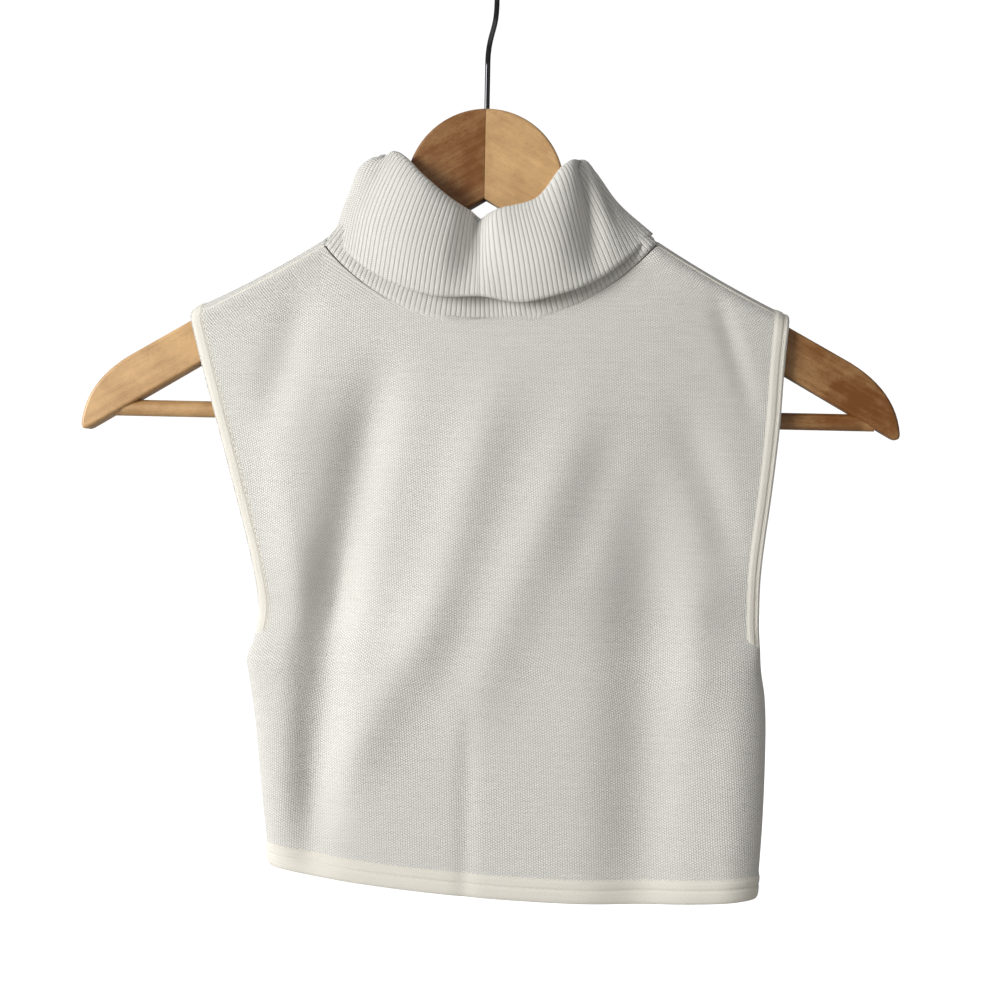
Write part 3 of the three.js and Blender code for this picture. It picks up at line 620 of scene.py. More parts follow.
def smooth_profile(points, steps=40):
    """Centripetal curve through each column's points, with the place of each sample among them."""
    first = 2 * points[:, :1] - points[:, 1:2]
    last = 2 * points[:, -1:] - points[:, -2:-1]
    padded = np.concatenate([first, points, last], axis=1)
    gaps = np.maximum(np.linalg.norm(np.diff(padded, axis=1), axis=-1) ** 0.5, 1e-6)[..., None]
    share = np.linspace(0, 1, steps, endpoint=False)[None, :, None]
    samples, places = [], []
    for segment in range(points.shape[1] - 1):
        p0, p1, p2, p3 = (padded[:, segment + k] for k in range(4))
        g0, g1, g2 = (gaps[:, segment + k] for k in range(3))
        start = ((p1 - p0) / g0 - (p2 - p0) / (g0 + g1) + (p2 - p1) / g1) * g1
        end = ((p2 - p1) / g1 - (p3 - p1) / (g1 + g2) + (p3 - p2) / g2) * g1
        p1, p2, start, end = (each[:, None] for each in (p1, p2, start, end))
        samples.append(
            p1
            + start * share
            + (3 * (p2 - p1) - 2 * start - end) * share**2
            + (2 * (p1 - p2) + start + end) * share**3
        )
        places.append(segment + share[0, :, 0])
    samples.append(points[:, -1:])
    places.append([points.shape[1] - 1])
    return np.concatenate(samples, axis=1), np.concatenate(places)


def even_turns(drape, collar, count):
    """Turns at which the ribs stand, evenly spread along the free edge and the seam."""
    turns = np.linspace(0, 360, 721)
    profile = collar_points(drape, collar, turns)
    edge = length_along(profile[:, 6], 0)
    seam = length_along(profile[:, 0], 0)
    run = edge / edge[-1] * 0.6 + seam / seam[-1] * 0.4
    return np.interp(np.arange(count) / count, run, turns)


def collar_wall(drape, collar, per_rib=6, rows=52):
    """The collar's tube: a middle surface, corrugated into ribs, and thickened either side."""
    ribs = collar.ribs
    columns = ribs * per_rib
    turns = even_turns(drape, collar, columns)
    samples, places = smooth_profile(collar_points(drape, collar, turns))
    steps = np.diff(samples, axis=1)
    bend = np.zeros(samples.shape[:2])
    ways = unit(steps)
    cosine = np.clip(np.einsum("crk,crk->cr", ways[:, 1:], ways[:, :-1]), -1, 1)
    bend[:, 1:-1] = np.arccos(cosine)
    weight = np.linalg.norm(steps, axis=-1) + bend[:, 1:] * 4 * MM
    run = np.concatenate([np.zeros((columns, 1)), np.cumsum(weight, axis=1)], axis=1)
    length = length_along(samples, 1)
    share = np.linspace(0, 1, rows)
    grid = np.empty((columns, rows, 3))
    place = np.empty((columns, rows))
    down = np.empty((columns, rows))
    for column in range(columns):
        at = share * run[column, -1]
        for axis in range(3):
            grid[column, :, axis] = np.interp(at, run[column], samples[column, :, axis])
        place[column] = np.interp(at, run[column], places) / 3 - 1
        down[column] = np.interp(at, run[column], length[column])
    normals = grid_normals(grid, True, 1)
    grid = grid - normals * collar_dents(turns, place, collar)[..., None]
    normals = grid_normals(grid, True, 1)
    rib = np.arange(columns) / per_rib
    groove = np.abs(2 * (rib % 1) - 1)[:, None]
    groove_back = np.abs(2 * ((rib + 0.5) % 1) - 1)[:, None]
    outer = grid + normals * (collar.wall / 2 - collar.relief * groove**6)[..., None]
    inner = grid - normals * (collar.wall / 2 - collar.relief * groove_back**6)[..., None]
    points, quads = shell(outer, inner, loop=True)
    flat = np.stack(np.broadcast_arrays(rib[:, None], down), axis=-1).reshape(-1, 2)
    flat_back = flat + np.array([0.5, 0.0])
    return points, quads, np.vstack([flat, flat_back])


def collar_dents(turns, place, collar):
    """How far each point of the collar stands out from its plain shape."""
    reach = collar.edge_half
    layer = collar.height * 0.7
    total = np.zeros_like(place)
    for turn1, place1, turn2, place2, width, swell in COLLAR_FOLDS:
        half_turn = (turn2 - turn1 + 180) % 360 - 180
        aside = (turns - turn1 + 180) % 360 - 180
        flat_x, flat_y = np.radians(aside)[:, None] * reach, (place - place1) * layer
        along_x, along_y = math.radians(half_turn) * reach, (place2 - place1) * layer
        size = math.hypot(along_x, along_y)
        share = (flat_x * along_x + flat_y * along_y) / size**2
        off = (flat_x * along_y - flat_y * along_x) / size / width
        ends = smoothstep(-0.25, 0.25, share) * smoothstep(-1.25, -0.75, -share)
        total += swell * ends * np.exp(-(off**2))
    return total


# Hanger


def hanger_half():
    """Outline of the hanger's right half, from the notch round by the tip to the top."""
    half_span = bpy.context.scene.dickey_hanger.half_span
    bottom = -NOTCH_DEPTH - LOWER_SLOPE * half_span
    tip_top = half_span - TIP_LENGTH

    def slope_at(x):
        return -ARM_TOP - TOP_SLOPE * (x - ARM_TOP_START)

    def bend(start, pull, end, steps=12):
        share = np.linspace(0, 1, steps + 1)[1:, None]
        start, pull, end = (np.array(each) for each in (start, pull, end))
        return (1 - share) ** 2 * start + 2 * share * (1 - share) * pull + share**2 * end

    before_tip = (half_span - TIP_ROUND, bottom + LOWER_SLOPE * TIP_ROUND)
    beside_tip = (half_span, bottom + TIP_ROUND)
    above_tip = (tip_top, slope_at(tip_top))
    fillet_start = (DOME_RADIUS + DOME_FILLET, slope_at(DOME_RADIUS + DOME_FILLET))
    dome_side = (DOME_RADIUS, -DOME_RADIUS)
    turn = np.linspace(0, np.pi / 2, 40)[1:]
    dome = np.stack([DOME_RADIUS * np.cos(turn), -DOME_RADIUS + DOME_RADIUS * np.sin(turn)], axis=-1)
    return np.vstack([
        [(0, -NOTCH_DEPTH), before_tip],
        bend(before_tip, (half_span, bottom), beside_tip),
        bend(beside_tip, (half_span - TIP_LEAN, slope_at(half_span)), above_tip),
        [fillet_start],
        bend(fillet_start, (DOME_RADIUS, slope_at(DOME_RADIUS)), dome_side),
        dome,
    ])


def wood_half(name, hand, hanger):
    """One half of the hanger: its outline given a thickness and soft edges."""
    past = 3 * hanger.edge
    outline = np.vstack([[(-past, -NOTCH_DEPTH)], hanger_half(), [(-past, 0)]])
    outline[:, 0] *= hand
    curve = bpy.data.curves.new(name, "CURVE")
    curve.dimensions = "2D"
    curve.fill_mode = "BOTH"
    curve.extrude = hanger.thickness / 2 - hanger.edge
    curve.bevel_depth = hanger.edge
    curve.bevel_resolution = 4
    curve.offset = -hanger.edge
    spline = curve.splines.new("POLY")
    spline.points.add(len(outline) - 1)
    for point, (x, z) in zip(spline.points, outline):
        point.co = (x, z, 0, 1)
    spline.use_cyclic_u = True
    holder = bpy.data.objects.new(name + "_outline", curve)
    bpy.context.collection.objects.link(holder)
    bpy.context.view_layer.update()
    mesh = bpy.data.meshes.new_from_object(holder)
    bpy.data.objects.remove(holder)
    mesh.name = name
    for vertex in mesh.vertices:
        vertex.co.x = hand * max(vertex.co.x * hand, JOINT_GAP)
    mesh.transform(Matrix.Translation(HANG.tolist()) @ Matrix.Rotation(math.pi / 2, 4, "X"))
    for polygon in mesh.polygons:
        polygon.use_smooth = abs(polygon.normal.y) < 0.999
    return mesh


def hook_path(sizes, steps=90):
    """Centre line of the hook: the stem, its curve out to the crook, and the crook round to its end."""
    bend, centre = sizes.hook_bend, sizes.hook_centre

    def crook(angle):
        return np.array([0, bend * math.cos(angle), centre + bend * math.sin(angle)])

    stem_top = np.array([0, 0, HOOK_STEM])
    meets = crook(HOOK_JOIN)
    reach = np.linalg.norm(meets - stem_top) / 3
    first = stem_top + np.array([0, 0, reach])
    second = meets - np.array([0, -math.sin(HOOK_JOIN) * reach, math.cos(HOOK_JOIN) * reach])
    share = np.linspace(0, 1, 16)[:, None]
    flare = (
        (1 - share) ** 3 * stem_top
        + 3 * share * (1 - share) ** 2 * first
        + 3 * share**2 * (1 - share) * second
        + share**3 * meets
    )
    stem = np.array([[0, 0, z] for z in np.linspace(-HOOK_SCREWED, HOOK_STEM - 2 * MM, 10)])
    round_crook = np.array([crook(angle) for angle in np.linspace(HOOK_JOIN, HOOK_END, steps)[1:]])
    path = np.vstack([stem, flare, round_crook])
    x = path[:, 0] * math.cos(HOOK_TURN) - path[:, 1] * math.sin(HOOK_TURN)
    y = path[:, 0] * math.sin(HOOK_TURN) + path[:, 1] * math.cos(HOOK_TURN)
    return np.stack([x, y, path[:, 2]], axis=-1)


# Materials


def linear(hex_colour):
    """An sRGB hex colour as linear red, green, blue and alpha."""
    parts = [int(hex_colour[k : k + 2], 16) / 255 for k in (1, 3, 5)]
    return (*[c / 12.92 if c <= 0.04045 else ((c + 0.055) / 1.055) ** 2.4 for c in parts], 1.0)


def hex_of(colour):
    """A colour property's linear value as the hex form that the materials take."""
    parts = [c * 12.92 if c <= 0.0031308 else 1.055 * c ** (1 / 2.4) - 0.055 for c in colour[:3]]
    return "#" + "".join(f"{round(min(max(c, 0), 1) * 255):02X}" for c in parts)


def add_node(tree, kind, *inputs, named=(), **settings):
    """Adds a node. Inputs come in order or by name: a value, a socket or a node's first output."""
    node = tree.nodes.new("ShaderNode" + kind)
    for key, value in settings.items():
        setattr(node, key, value)
    for place, value in (*enumerate(inputs), *dict(named).items()):
        if isinstance(value, bpy.types.Node):
            value = value.outputs[0]
        if isinstance(value, bpy.types.NodeSocket):
            tree.links.new(value, node.inputs[place])
        else:
            node.inputs[place].default_value = value
    return node


def new_material(name):
    """An empty node material: its tree and the one shader that reaches its surface."""
    old = bpy.data.materials.get(name)
    if old is not None:
        bpy.data.materials.remove(old)
    material = bpy.data.materials.new(name)
    material.use_nodes = True
    tree = material.node_tree
    tree.nodes.clear()
    shader = add_node(tree, "BsdfPrincipled")
    add_node(tree, "OutputMaterial", shader)
    return material, tree, shader


def finish_surface(tree, shader, colours, share, relief, levels):
    """A tint between two hex colours, the relief of a bump node, and the shader's uniform values."""
    first, second = (linear(each) for each in colours)
    tint = add_node(tree, "Mix", named={0: share, 6: first, 7: second}, data_type="RGBA")
    tree.links.new(tint.outputs[2], shader.inputs["Base Color"])
    tree.links.new(relief.outputs[0], shader.inputs["Normal"])
    for name, level in levels.items():
        shader.inputs[name].default_value = level


def finish_cotton(tree, shader, colours, lit, height, depth):
    """Soft matt yarn: shaded between its raised loops, with fuzz that catches light at a slant."""
    relief = add_node(tree, "Bump", named={"Height": height, "Strength": 1.0, "Distance": depth})
    levels = {
        "Roughness": 0.92,
        "IOR": 1.5,
        "Specular IOR Level": 0.25,
        "Sheen Weight": 0.1,
        "Sheen Roughness": 0.5,
    }
    finish_surface(tree, shader, colours, lit, relief, levels)


def humps(tree, value):
    """Round humps side by side, one to each whole step of the value."""
    turn = add_node(tree, "Math", value, math.pi, operation="MULTIPLY")
    wave = add_node(tree, "Math", turn, operation="SINE")
    return add_node(tree, "Math", wave, operation="ABSOLUTE")


def knit_material(name, colours, wale, course, depth, speckle):
    """Cream double knit from combed yarn, washed and unbrushed: matt, a fine grid of loops and slubs."""
    material, tree, shader = new_material(name)
    flat = add_node(tree, "UVMap", uv_map="flat_cloth")
    split = add_node(tree, "SeparateXYZ", flat)
    across = add_node(tree, "Math", split.outputs[0], 1 / wale, operation="MULTIPLY")
    down = add_node(tree, "Math", split.outputs[1], 1 / course, operation="MULTIPLY")
    inside = add_node(tree, "Math", across, 0.5, operation="PINGPONG")
    column = add_node(tree, "Math", across, operation="FLOOR")
    staggered = add_node(tree, "Math", column, 0.5, down, operation="MULTIPLY_ADD")
    slanted = add_node(tree, "Math", inside, 0.7, staggered, operation="MULTIPLY_ADD")
    columns = add_node(tree, "Math", humps(tree, inside), 0.25, operation="POWER")
    between = add_node(tree, "Math", humps(tree, slanted), 0.75, 0.25, operation="MULTIPLY_ADD")
    height = add_node(tree, "Math", columns, between, operation="MULTIPLY")
    along_yarn = add_node(tree, "Mapping", flat, named={"Scale": (40, 800, 1)})
    slub = add_node(
        tree, "TexNoise", along_yarn, named={"Scale": 1.0, "Detail": 3.0, "Roughness": 0.6}
    )
    fuzz = add_node(tree, "TexNoise", flat, named={"Scale": 1500.0, "Detail": 2.0, "Roughness": 0.7})
    uneven = add_node(tree, "Math", slub, 0.5, fuzz, operation="MULTIPLY_ADD")
    loops = add_node(tree, "Math", height, speckle, operation="MULTIPLY")
    speckled = add_node(tree, "Math", uneven, 0.9, loops, operation="MULTIPLY_ADD")
    lit = add_node(tree, "Math", speckled, 0.4, operation="SUBTRACT")
    rise = add_node(tree, "Math", fuzz, 0.35, height, operation="MULTIPLY_ADD")
    finish_cotton(tree, shader, colours, lit, rise, depth)
    return material


def rib_material(name, colours, course):
    """The same yarn knitted one by one: raised columns of slanting loops, shaded between them."""
    material, tree, shader = new_material(name)
    flat = add_node(tree, "UVMap", uv_map="flat_cloth")
    split = add_node(tree, "SeparateXYZ", flat)
    from_groove = add_node(tree, "Math", split.outputs[0], 0.5, operation="PINGPONG")
    down = add_node(tree, "Math", split.outputs[1], 1 / course, operation="MULTIPLY")
    leg = add_node(tree, "Math", from_groove, 0.25, operation="PINGPONG")
    slanted = add_node(tree, "Math", leg, 3.0, down, operation="MULTIPLY_ADD")
    loops = humps(tree, slanted)
    crown = add_node(
        tree,
        "MapRange",
        from_groove,
        named={"From Min": 0.0, "From Max": 0.13},
        interpolation_type="SMOOTHSTEP",
    )
    beads = add_node(tree, "Math", loops, 0.6, 0.4, operation="MULTIPLY_ADD")
    across = add_node(tree, "Math", loops, 0.5, operation="MULTIPLY")
    filled = add_node(tree, "Math", crown, across, operation="MAXIMUM")
    height = add_node(tree, "Math", filled, beads, operation="MULTIPLY")
    place = add_node(tree, "NewGeometry")
    fuzz = add_node(tree, "TexNoise", place, named={"Scale": 1500.0, "Detail": 2.0})
    lit = add_node(tree, "Math", fuzz, 0.5, height, operation="MULTIPLY_ADD")
    finish_cotton(tree, shader, colours, lit, height, 0.4 * MM)
    return material


def thread_material(colours):
    """Twisted polyester sewing thread: a slight gloss along fine slanting plies."""
    material, tree, shader = new_material("twisted_sewing_thread")
    place = add_node(tree, "NewGeometry")
    plies = add_node(tree, "TexWave", place, named={"Scale": 900.0, "Distortion": 1.0}).outputs[1]
    relief = add_node(
        tree, "Bump", named={"Height": plies, "Strength": 0.5, "Distance": 0.05 * MM}
    )
    finish_surface(tree, shader, colours, plies, relief, {"Roughness": 0.6, "IOR": 1.55})
    return material


def wood_material(name, colours, angle, tone_and_shade_range, tone_and_shade_depth=0.5, knot=None):
    """Beech, planed and sanded, under clear varnish: fine grain and short dark pores, softly glossy. Its
    colour darkens towards one end, partly the wood's own tone and partly painted shade, and its mottle is
    partly painted sheen.
    """
    material, tree, shader = new_material(name)
    place = add_node(tree, "TexCoord").outputs["Object"]
    along = add_node(tree, "Mapping", place, named={"Rotation": (0, angle, 0)})
    grain_space = add_node(tree, "Mapping", along, named={"Scale": (14, 220, 220)})
    pore_space = add_node(tree, "Mapping", along, named={"Scale": (420, 3200, 3200)})
    grain = add_node(
        tree, "TexNoise", grain_space, named={"Scale": 1.6, "Detail": 6.0, "Roughness": 0.6}
    )
    specks = add_node(
        tree, "TexNoise", pore_space, named={"Scale": 1.0, "Detail": 2.0, "Roughness": 0.6}
    )
    pores = add_node(tree, "MapRange", specks, named={"From Min": 0.52, "From Max": 0.72})
    # A mottle in the colour: partly the wood's own uneven tone, partly painted sheen of the varnish.
    mottle_and_sheen = add_node(tree, "TexNoise", place, named={"Scale": 70.0, "Detail": 5.0})
    # Darkening towards one end: partly the wood's own tone, partly painted shade where the light falls off.
    ends = add_node(tree, "SeparateXYZ", place)
    first, last = tone_and_shade_range
    tone_and_shade_mask = add_node(
        tree,
        "MapRange",
        ends,
        named={"From Min": first, "From Max": last, "To Max": tone_and_shade_depth},
        interpolation_type="SMOOTHSTEP",
    )
    lines = add_node(tree, "Math", pores, 0.22, tone_and_shade_mask, operation="MULTIPLY_ADD")
    body = add_node(tree, "Math", grain, 0.55, lines, operation="MULTIPLY_ADD")
    tone_shade_and_sheen = add_node(tree, "Math", mottle_and_sheen, 0.7, body, operation="MULTIPLY_ADD")
    if knot is not None:
        warp = add_node(tree, "VectorMath", grain, (0.03, 0, 0.012), operation="MULTIPLY")
        moved = add_node(tree, "VectorMath", place, warp, operation="ADD")
        far = add_node(tree, "VectorMath", moved, knot, operation="DISTANCE")
        ring = add_node(
            tree,
            "MapRange",
            far.outputs["Value"],
            named={"From Min": 0.024, "From Max": 0.02, "To Max": 0.2},
        )
        tone_shade_and_sheen = add_node(tree, "Math", tone_shade_and_sheen, ring, operation="ADD")
    ramp = add_node(tree, "MapRange", tone_shade_and_sheen, named={"From Min": 0.47, "From Max": 1.37})
    relief = add_node(
        tree, "Bump", named={"Height": pores, "Strength": 0.3, "Distance": -0.1 * MM}
    )
    levels = {"Roughness": 0.42, "IOR": 1.5, "Coat Weight": 0.2, "Coat Roughness": 0.2}
    finish_surface(tree, shader, colours, ramp, relief, levels)
    return material


def chrome_material(colour):
    """Steel wire, drawn and chrome plated, with faint marks along it. Its base colour is painted near black,
    as a painted reflection of a dark room.
    """
    material, tree, shader = new_material("chrome_wire_painted_dark")
    place = add_node(tree, "TexCoord").outputs["Object"]
    marks = add_node(tree, "Mapping", place, named={"Scale": (3000, 3000, 60)})
    lines = add_node(tree, "TexNoise", marks, named={"Scale": 1.0, "Detail": 2.0})
    rough = add_node(tree, "MapRange", lines, named={"To Min": 0.04, "To Max": 0.1})
    tree.links.new(rough.outputs[0], shader.inputs["Roughness"])
    # Near black base colour: painted dark reflections on the chrome.
    shader.inputs["Base Color"].default_value = linear(colour)
    shader.inputs["Metallic"].default_value = 1.0
    return material


# Sizes and colours a user would change


def size_property(name, description, default):
    return bpy.props.FloatProperty(
        name=name,
        description=description,
        default=default,
        min=0.0,
        precision=4,
        unit="LENGTH",
        subtype="DISTANCE",
    )


def colour_property(name, description, hex_colour):
    colour = linear(hex_colour)[:3]
    return bpy.props.FloatVectorProperty(
        name=name, description=description, default=colour, size=3, min=0, max=1, subtype="COLOR"
    )


class DickeyBodySizes(bpy.types.PropertyGroup):
    shoulder_half: size_property("Half shoulder width", "From the centre to a shoulder point", 163 * MM)
    length: size_property("Length", "From the neck points down to the hem", 350 * MM)
    depth: size_property("Depth", "From the hanger out to the middle of the front", 20 * MM)
    thickness: size_property("Cloth", "Thickness of the knit", 1.6 * MM)
    neck_half_width: size_property("Half neck width", "Half the width between the neck points", 90 * MM)
    neck_front_drop: size_property("Front neck drop", "How far the neckline dips in front", 44.8 * MM)
    neck_back_drop: size_property("Back neck drop", "How far the neckline dips behind", 22 * MM)
    fold_strength: bpy.props.FloatProperty(
        name="Folds", description="How deep the hanging folds are", default=1.0, min=0, max=2, subtype="FACTOR"
    )


class DickeyCollarSizes(bpy.types.PropertyGroup):
    ribs: bpy.props.IntProperty(name="Ribs", description="Raised columns once round", default=156, min=40)
    relief: size_property("Rib height", "How far a rib stands out", 0.25 * MM)
    wall: size_property("Rib knit", "Thickness of the rib knit", 2 * MM)
    roll_radius: size_property("Fold radius", "Radius of the turned-over fold", 4 * MM)
    top_half: size_property("Half fold width", "Half the width along the fold", 57 * MM)
    top_depth: size_property("Fold depth", "Depth of the fold from the centre", 18.5 * MM)
    edge_half: size_property("Half edge width", "Half the width along the free edge", 86 * MM)
    edge_depth: size_property("Edge depth", "Depth of the free edge from the centre", 30 * MM)
    height: size_property("Height", "Neckline up to the highest place of the fold", 96 * MM)
    puff: size_property("Swell", "How far the turned-down layer swells", 6 * MM)


class DickeyHemSizes(bpy.types.PropertyGroup):
    height: size_property("Hem", "Height of the turned hem", 12.7 * MM)
    lower_row: size_property("Lower stitches", "Height of the lower row of stitches", 7.1 * MM)
    thickness: size_property("Hem thickness", "Thickness of the doubled hem", 3 * MM)
    band: size_property("Armhole band", "Width of the turned armhole edge", 8 * MM)
    band_thickness: size_property("Band thickness", "Thickness of the armhole edge", 2.6 * MM)
    stitch: size_property("Stitch", "Length of one stitch", 2.6 * MM)
    thread: size_property("Thread", "Radius of the sewing thread", 0.2 * MM)


class DickeyHangerSizes(bpy.types.PropertyGroup):
    half_span: size_property("Half span", "From the centre to a tip", 222 * MM)
    thickness: size_property("Wood", "Thickness of the wood", 12 * MM)
    edge: size_property("Edges", "Rounding of the wood's edges", 1.5 * MM)
    bar_radius: size_property("Bar radius", "Radius of the trouser bar", 4.5 * MM)
    wire: size_property("Wire", "Thickness of the hook's wire", 2.9 * MM)
    hook_bend: size_property("Crook", "Radius of the crook's centre line", 22 * MM)
    hook_centre: size_property("Crook height", "Crook's centre above the wood", 66 * MM)


class DickeyFinishes(bpy.types.PropertyGroup):
    knit: colour_property("Knit", "Colour of the body's yarn", "#F0EEE8")
    knit_shade: colour_property("Knit shade", "Colour between the loops", "#A29C90")
    rib_shade: colour_property("Rib shade", "Colour between the ribs", "#8A8375")
    hem: colour_property("Hems", "Colour of the doubled hems", "#F1EDE3")
    hem_shade: colour_property("Hem shade", "Colour between the hems' loops", "#D6D1C4")
    thread: colour_property("Thread", "Colour of the sewing thread", "#F6F2E8")
    thread_shade: colour_property("Thread shade", "Colour between the thread's plies", "#E2DDCF")
    light_wood: colour_property("Light wood", "Lightest colour of the wood", "#DCB27C")
    dark_wood: colour_property("Dark wood", "Darkest colour of the wood", "#78460F")
    # The hook's colour is painted near black, as a painted reflection of a dark room on chrome.
    chrome_painted_dark: colour_property("Hook", "Colour of the plated wire", "#4A4A4C")


class DickeyStageSizes(bpy.types.PropertyGroup):
    floor_drop: size_property("Floor", "Floor below the crook", 0.75)
    key_power: bpy.props.FloatProperty(
        name="Key light", description="Power of the light on the upper left", default=64, min=0, unit="POWER"
    )
    fill_power: bpy.props.FloatProperty(
        name="Fill light", description="Power of the light on the right", default=2, min=0, unit="POWER"
    )


# Operators


class DickeyOperator:
    bl_options = {"REGISTER", "UNDO"}


class DICKEY_OT_body(DickeyOperator, bpy.types.Operator):
    """Build the front and the back of the knit body"""

    bl_idname = "dickey.body"
    bl_label = "Knit Body"

    def execute(self, context):
        drape = Drape(context.scene.dickey_body)
        finish = context.scene.dickey_finishes
        cloth = knit_material(
            "cream_double_knit",
            (hex_of(finish.knit_shade), hex_of(finish.knit)),
            wale=WALE,
            course=1.35 * MM,
            depth=0.4 * MM,
            speckle=0.95,
        )
        hem = context.scene.dickey_hem.height
        for side, name, columns, rows in ((-1, "front", 220, 200), (1, "back", 180, 150)):
            piece = add_piece(
                f"knit_{name}", knit_panel(drape, side, columns, rows, hem), cloth, [f"{name}_panel"]
            )
        return {"FINISHED"}


class DICKEY_OT_collar(DickeyOperator, bpy.types.Operator):
    """Build the rib-knit collar, folded over once"""

    bl_idname = "dickey.collar"
    bl_label = "Rib Collar"

    def execute(self, context):
        drape = Drape(context.scene.dickey_body)
        finish = context.scene.dickey_finishes
        points, quads, flat = collar_wall(drape, context.scene.dickey_collar)
        mesh = quad_mesh("rib_collar", points, quads, flat)
        colours = hex_of(finish.rib_shade), hex_of(finish.knit)
        ribbed = rib_material("cream_rib_knit", colours, course=1.15 * MM)
        piece = add_piece("rib_collar", mesh, ribbed, ["collar"])
        return {"FINISHED"}


class DICKEY_OT_hems(DickeyOperator, bpy.types.Operator):
    """Build the turned hem and armhole edges with their rows of stitches"""

    bl_idname = "dickey.hems"
    bl_label = "Hem and Armholes"

    def execute(self, context):
        drape = Drape(context.scene.dickey_body)
        sizes = context.scene.dickey_hem
        finish = context.scene.dickey_finishes
        turned = knit_material(
            "turned_hem_knit",
            (hex_of(finish.hem_shade), hex_of(finish.hem)),
            wale=WALE,
            course=HEM_COURSE,
            depth=0.12 * MM,
            speckle=0.6,
        )
        thread = thread_material((hex_of(finish.thread_shade), hex_of(finish.thread)))
        rows = (sizes.lower_row, sizes.height - ROW_BELOW_HEM_EDGE)
        above = np.unique(np.concatenate([
            np.array([0, 0.15, 0.5, 1, 1.8]) * MM,
            np.arange(2.6, 12.6, 0.5) * MM,
            [sizes.height - 0.2 * MM, sizes.height],
        ]))
        grid, normals = hem_ring(drape, above)
        proud = self.profile(above, sizes.thickness, rows, drape.cloth)
        self.band(drape, "turned_hem", grid, normals, proud, turned, ["hem_band"])
        stitches = []
        for row in rows:
            path, lift = hem_ring(drape, [row, row + MM])
            stitches.append((path[:, 0], lift[:, 0], proud[np.argmin(np.abs(above - row))]))
        self.stitches("hem_stitches", stitches, sizes, thread)
        for hand, side in ((-1, "left"), (1, "right")):
            across = np.unique(np.concatenate([
                np.array([0, 0.12, 0.4, 0.9, 1.6]) * MM,
                np.arange(2.4, 8, 0.5) * MM,
                [sizes.band],
            ]))
            grid = armhole_loop(drape, hand, across)
            normals = grid_normals(grid, True, -hand)
            row = sizes.band - ROW_LEFT if hand < 0 else ROW_RIGHT
            proud = self.profile(across, sizes.band_thickness, (row,), drape.cloth)
            name = f"armhole_edge_{side}"
            self.band(drape, name, grid, normals, proud, turned, [f"armhole_band_{side}"])
            index = np.argmin(np.abs(across - row))
            line = [(grid[:, index], normals[:, index], proud[index])]
            self.stitches(f"armhole_stitches_{side}", line, sizes, thread)
        return {"FINISHED"}

    def profile(self, across, thickness, rows, cloth):
        """How far a turned edge stands out over the cloth: round at its fold, pulled in at stitches."""
        proud = (thickness - cloth) / 2
        reach = min(rows) / 2
        rounding = np.clip(across / reach, 0, 1)
        height = thickness / 2 * np.sqrt(1 - (1 - rounding) ** 2) - cloth / 2
        for row in rows:
            height -= proud * 1.1 * np.exp(-(((across - row) / STITCH_HOLLOW) ** 2))
        height *= smoothstep(0, BAND_FADE, across[-1] - across)
        return height + BAND_CLEAR

    def band(self, drape, name, grid, normals, proud, material, replaces):
        outer = grid + normals * proud[None, :, None]
        inner = grid - normals * (proud + drape.cloth)[None, :, None]
        across = length_along(grid, 1)
        around = length_along(grid, 0)
        flat = np.stack([around, across], axis=-1).reshape(-1, 2)
        points, quads = shell(outer, inner, loop=True)
        mesh = quad_mesh(name, points, quads, np.vstack([flat, flat]))
        piece = add_piece(name, mesh, material, replaces)

    def stitches(self, name, rows, sizes, material):
        pieces = []
        for path, normals, proud in rows:
            closed = np.vstack([path, path[:1]])
            lift = np.vstack([normals, normals[:1]])
            pieces.append(stitch_row(closed + lift * proud, lift, sizes.stitch, STITCH_GAP, sizes.thread))
        points, quads = joined(pieces)
        add_piece(name, quad_mesh(name, points, quads), material)


class DICKEY_OT_seams(DickeyOperator, bpy.types.Operator):
    """Build the shoulder seams, where the front is sewn to the back"""

    bl_idname = "dickey.seams"
    bl_label = "Shoulder Seams"

    def execute(self, context):
        drape = Drape(context.scene.dickey_body)
        finish = context.scene.dickey_finishes
        cloth = knit_material(
            "seamed_knit",
            (hex_of(finish.hem_shade), hex_of(finish.hem)),
            wale=WALE,
            course=HEM_COURSE,
            depth=0.15 * MM,
            speckle=0.6,
        )
        for hand, name in ((-1, "left"), (1, "right")):
            neck = drape.across(drape.neck_left if hand < 0 else drape.neck_right)
            u = np.linspace(neck, hand * (1 - 6 * MM / drape.half), 60)
            way = drape.top_way(-1, u)
            path = drape.point(-1, u, way) - drape.normal(-1, u, way) * TUCK
            radii = SEAM_RADIUS * np.sin(np.linspace(0.25, np.pi - 0.25, len(u))) ** 0.3
            points, quads = tube(path, radii, 10)
            flat = points[:, [0, 2]]
            mesh = quad_mesh(f"shoulder_seam_{name}", points, quads, flat)
            add_piece(f"shoulder_seam_{name}", mesh, cloth)
        return {"FINISHED"}


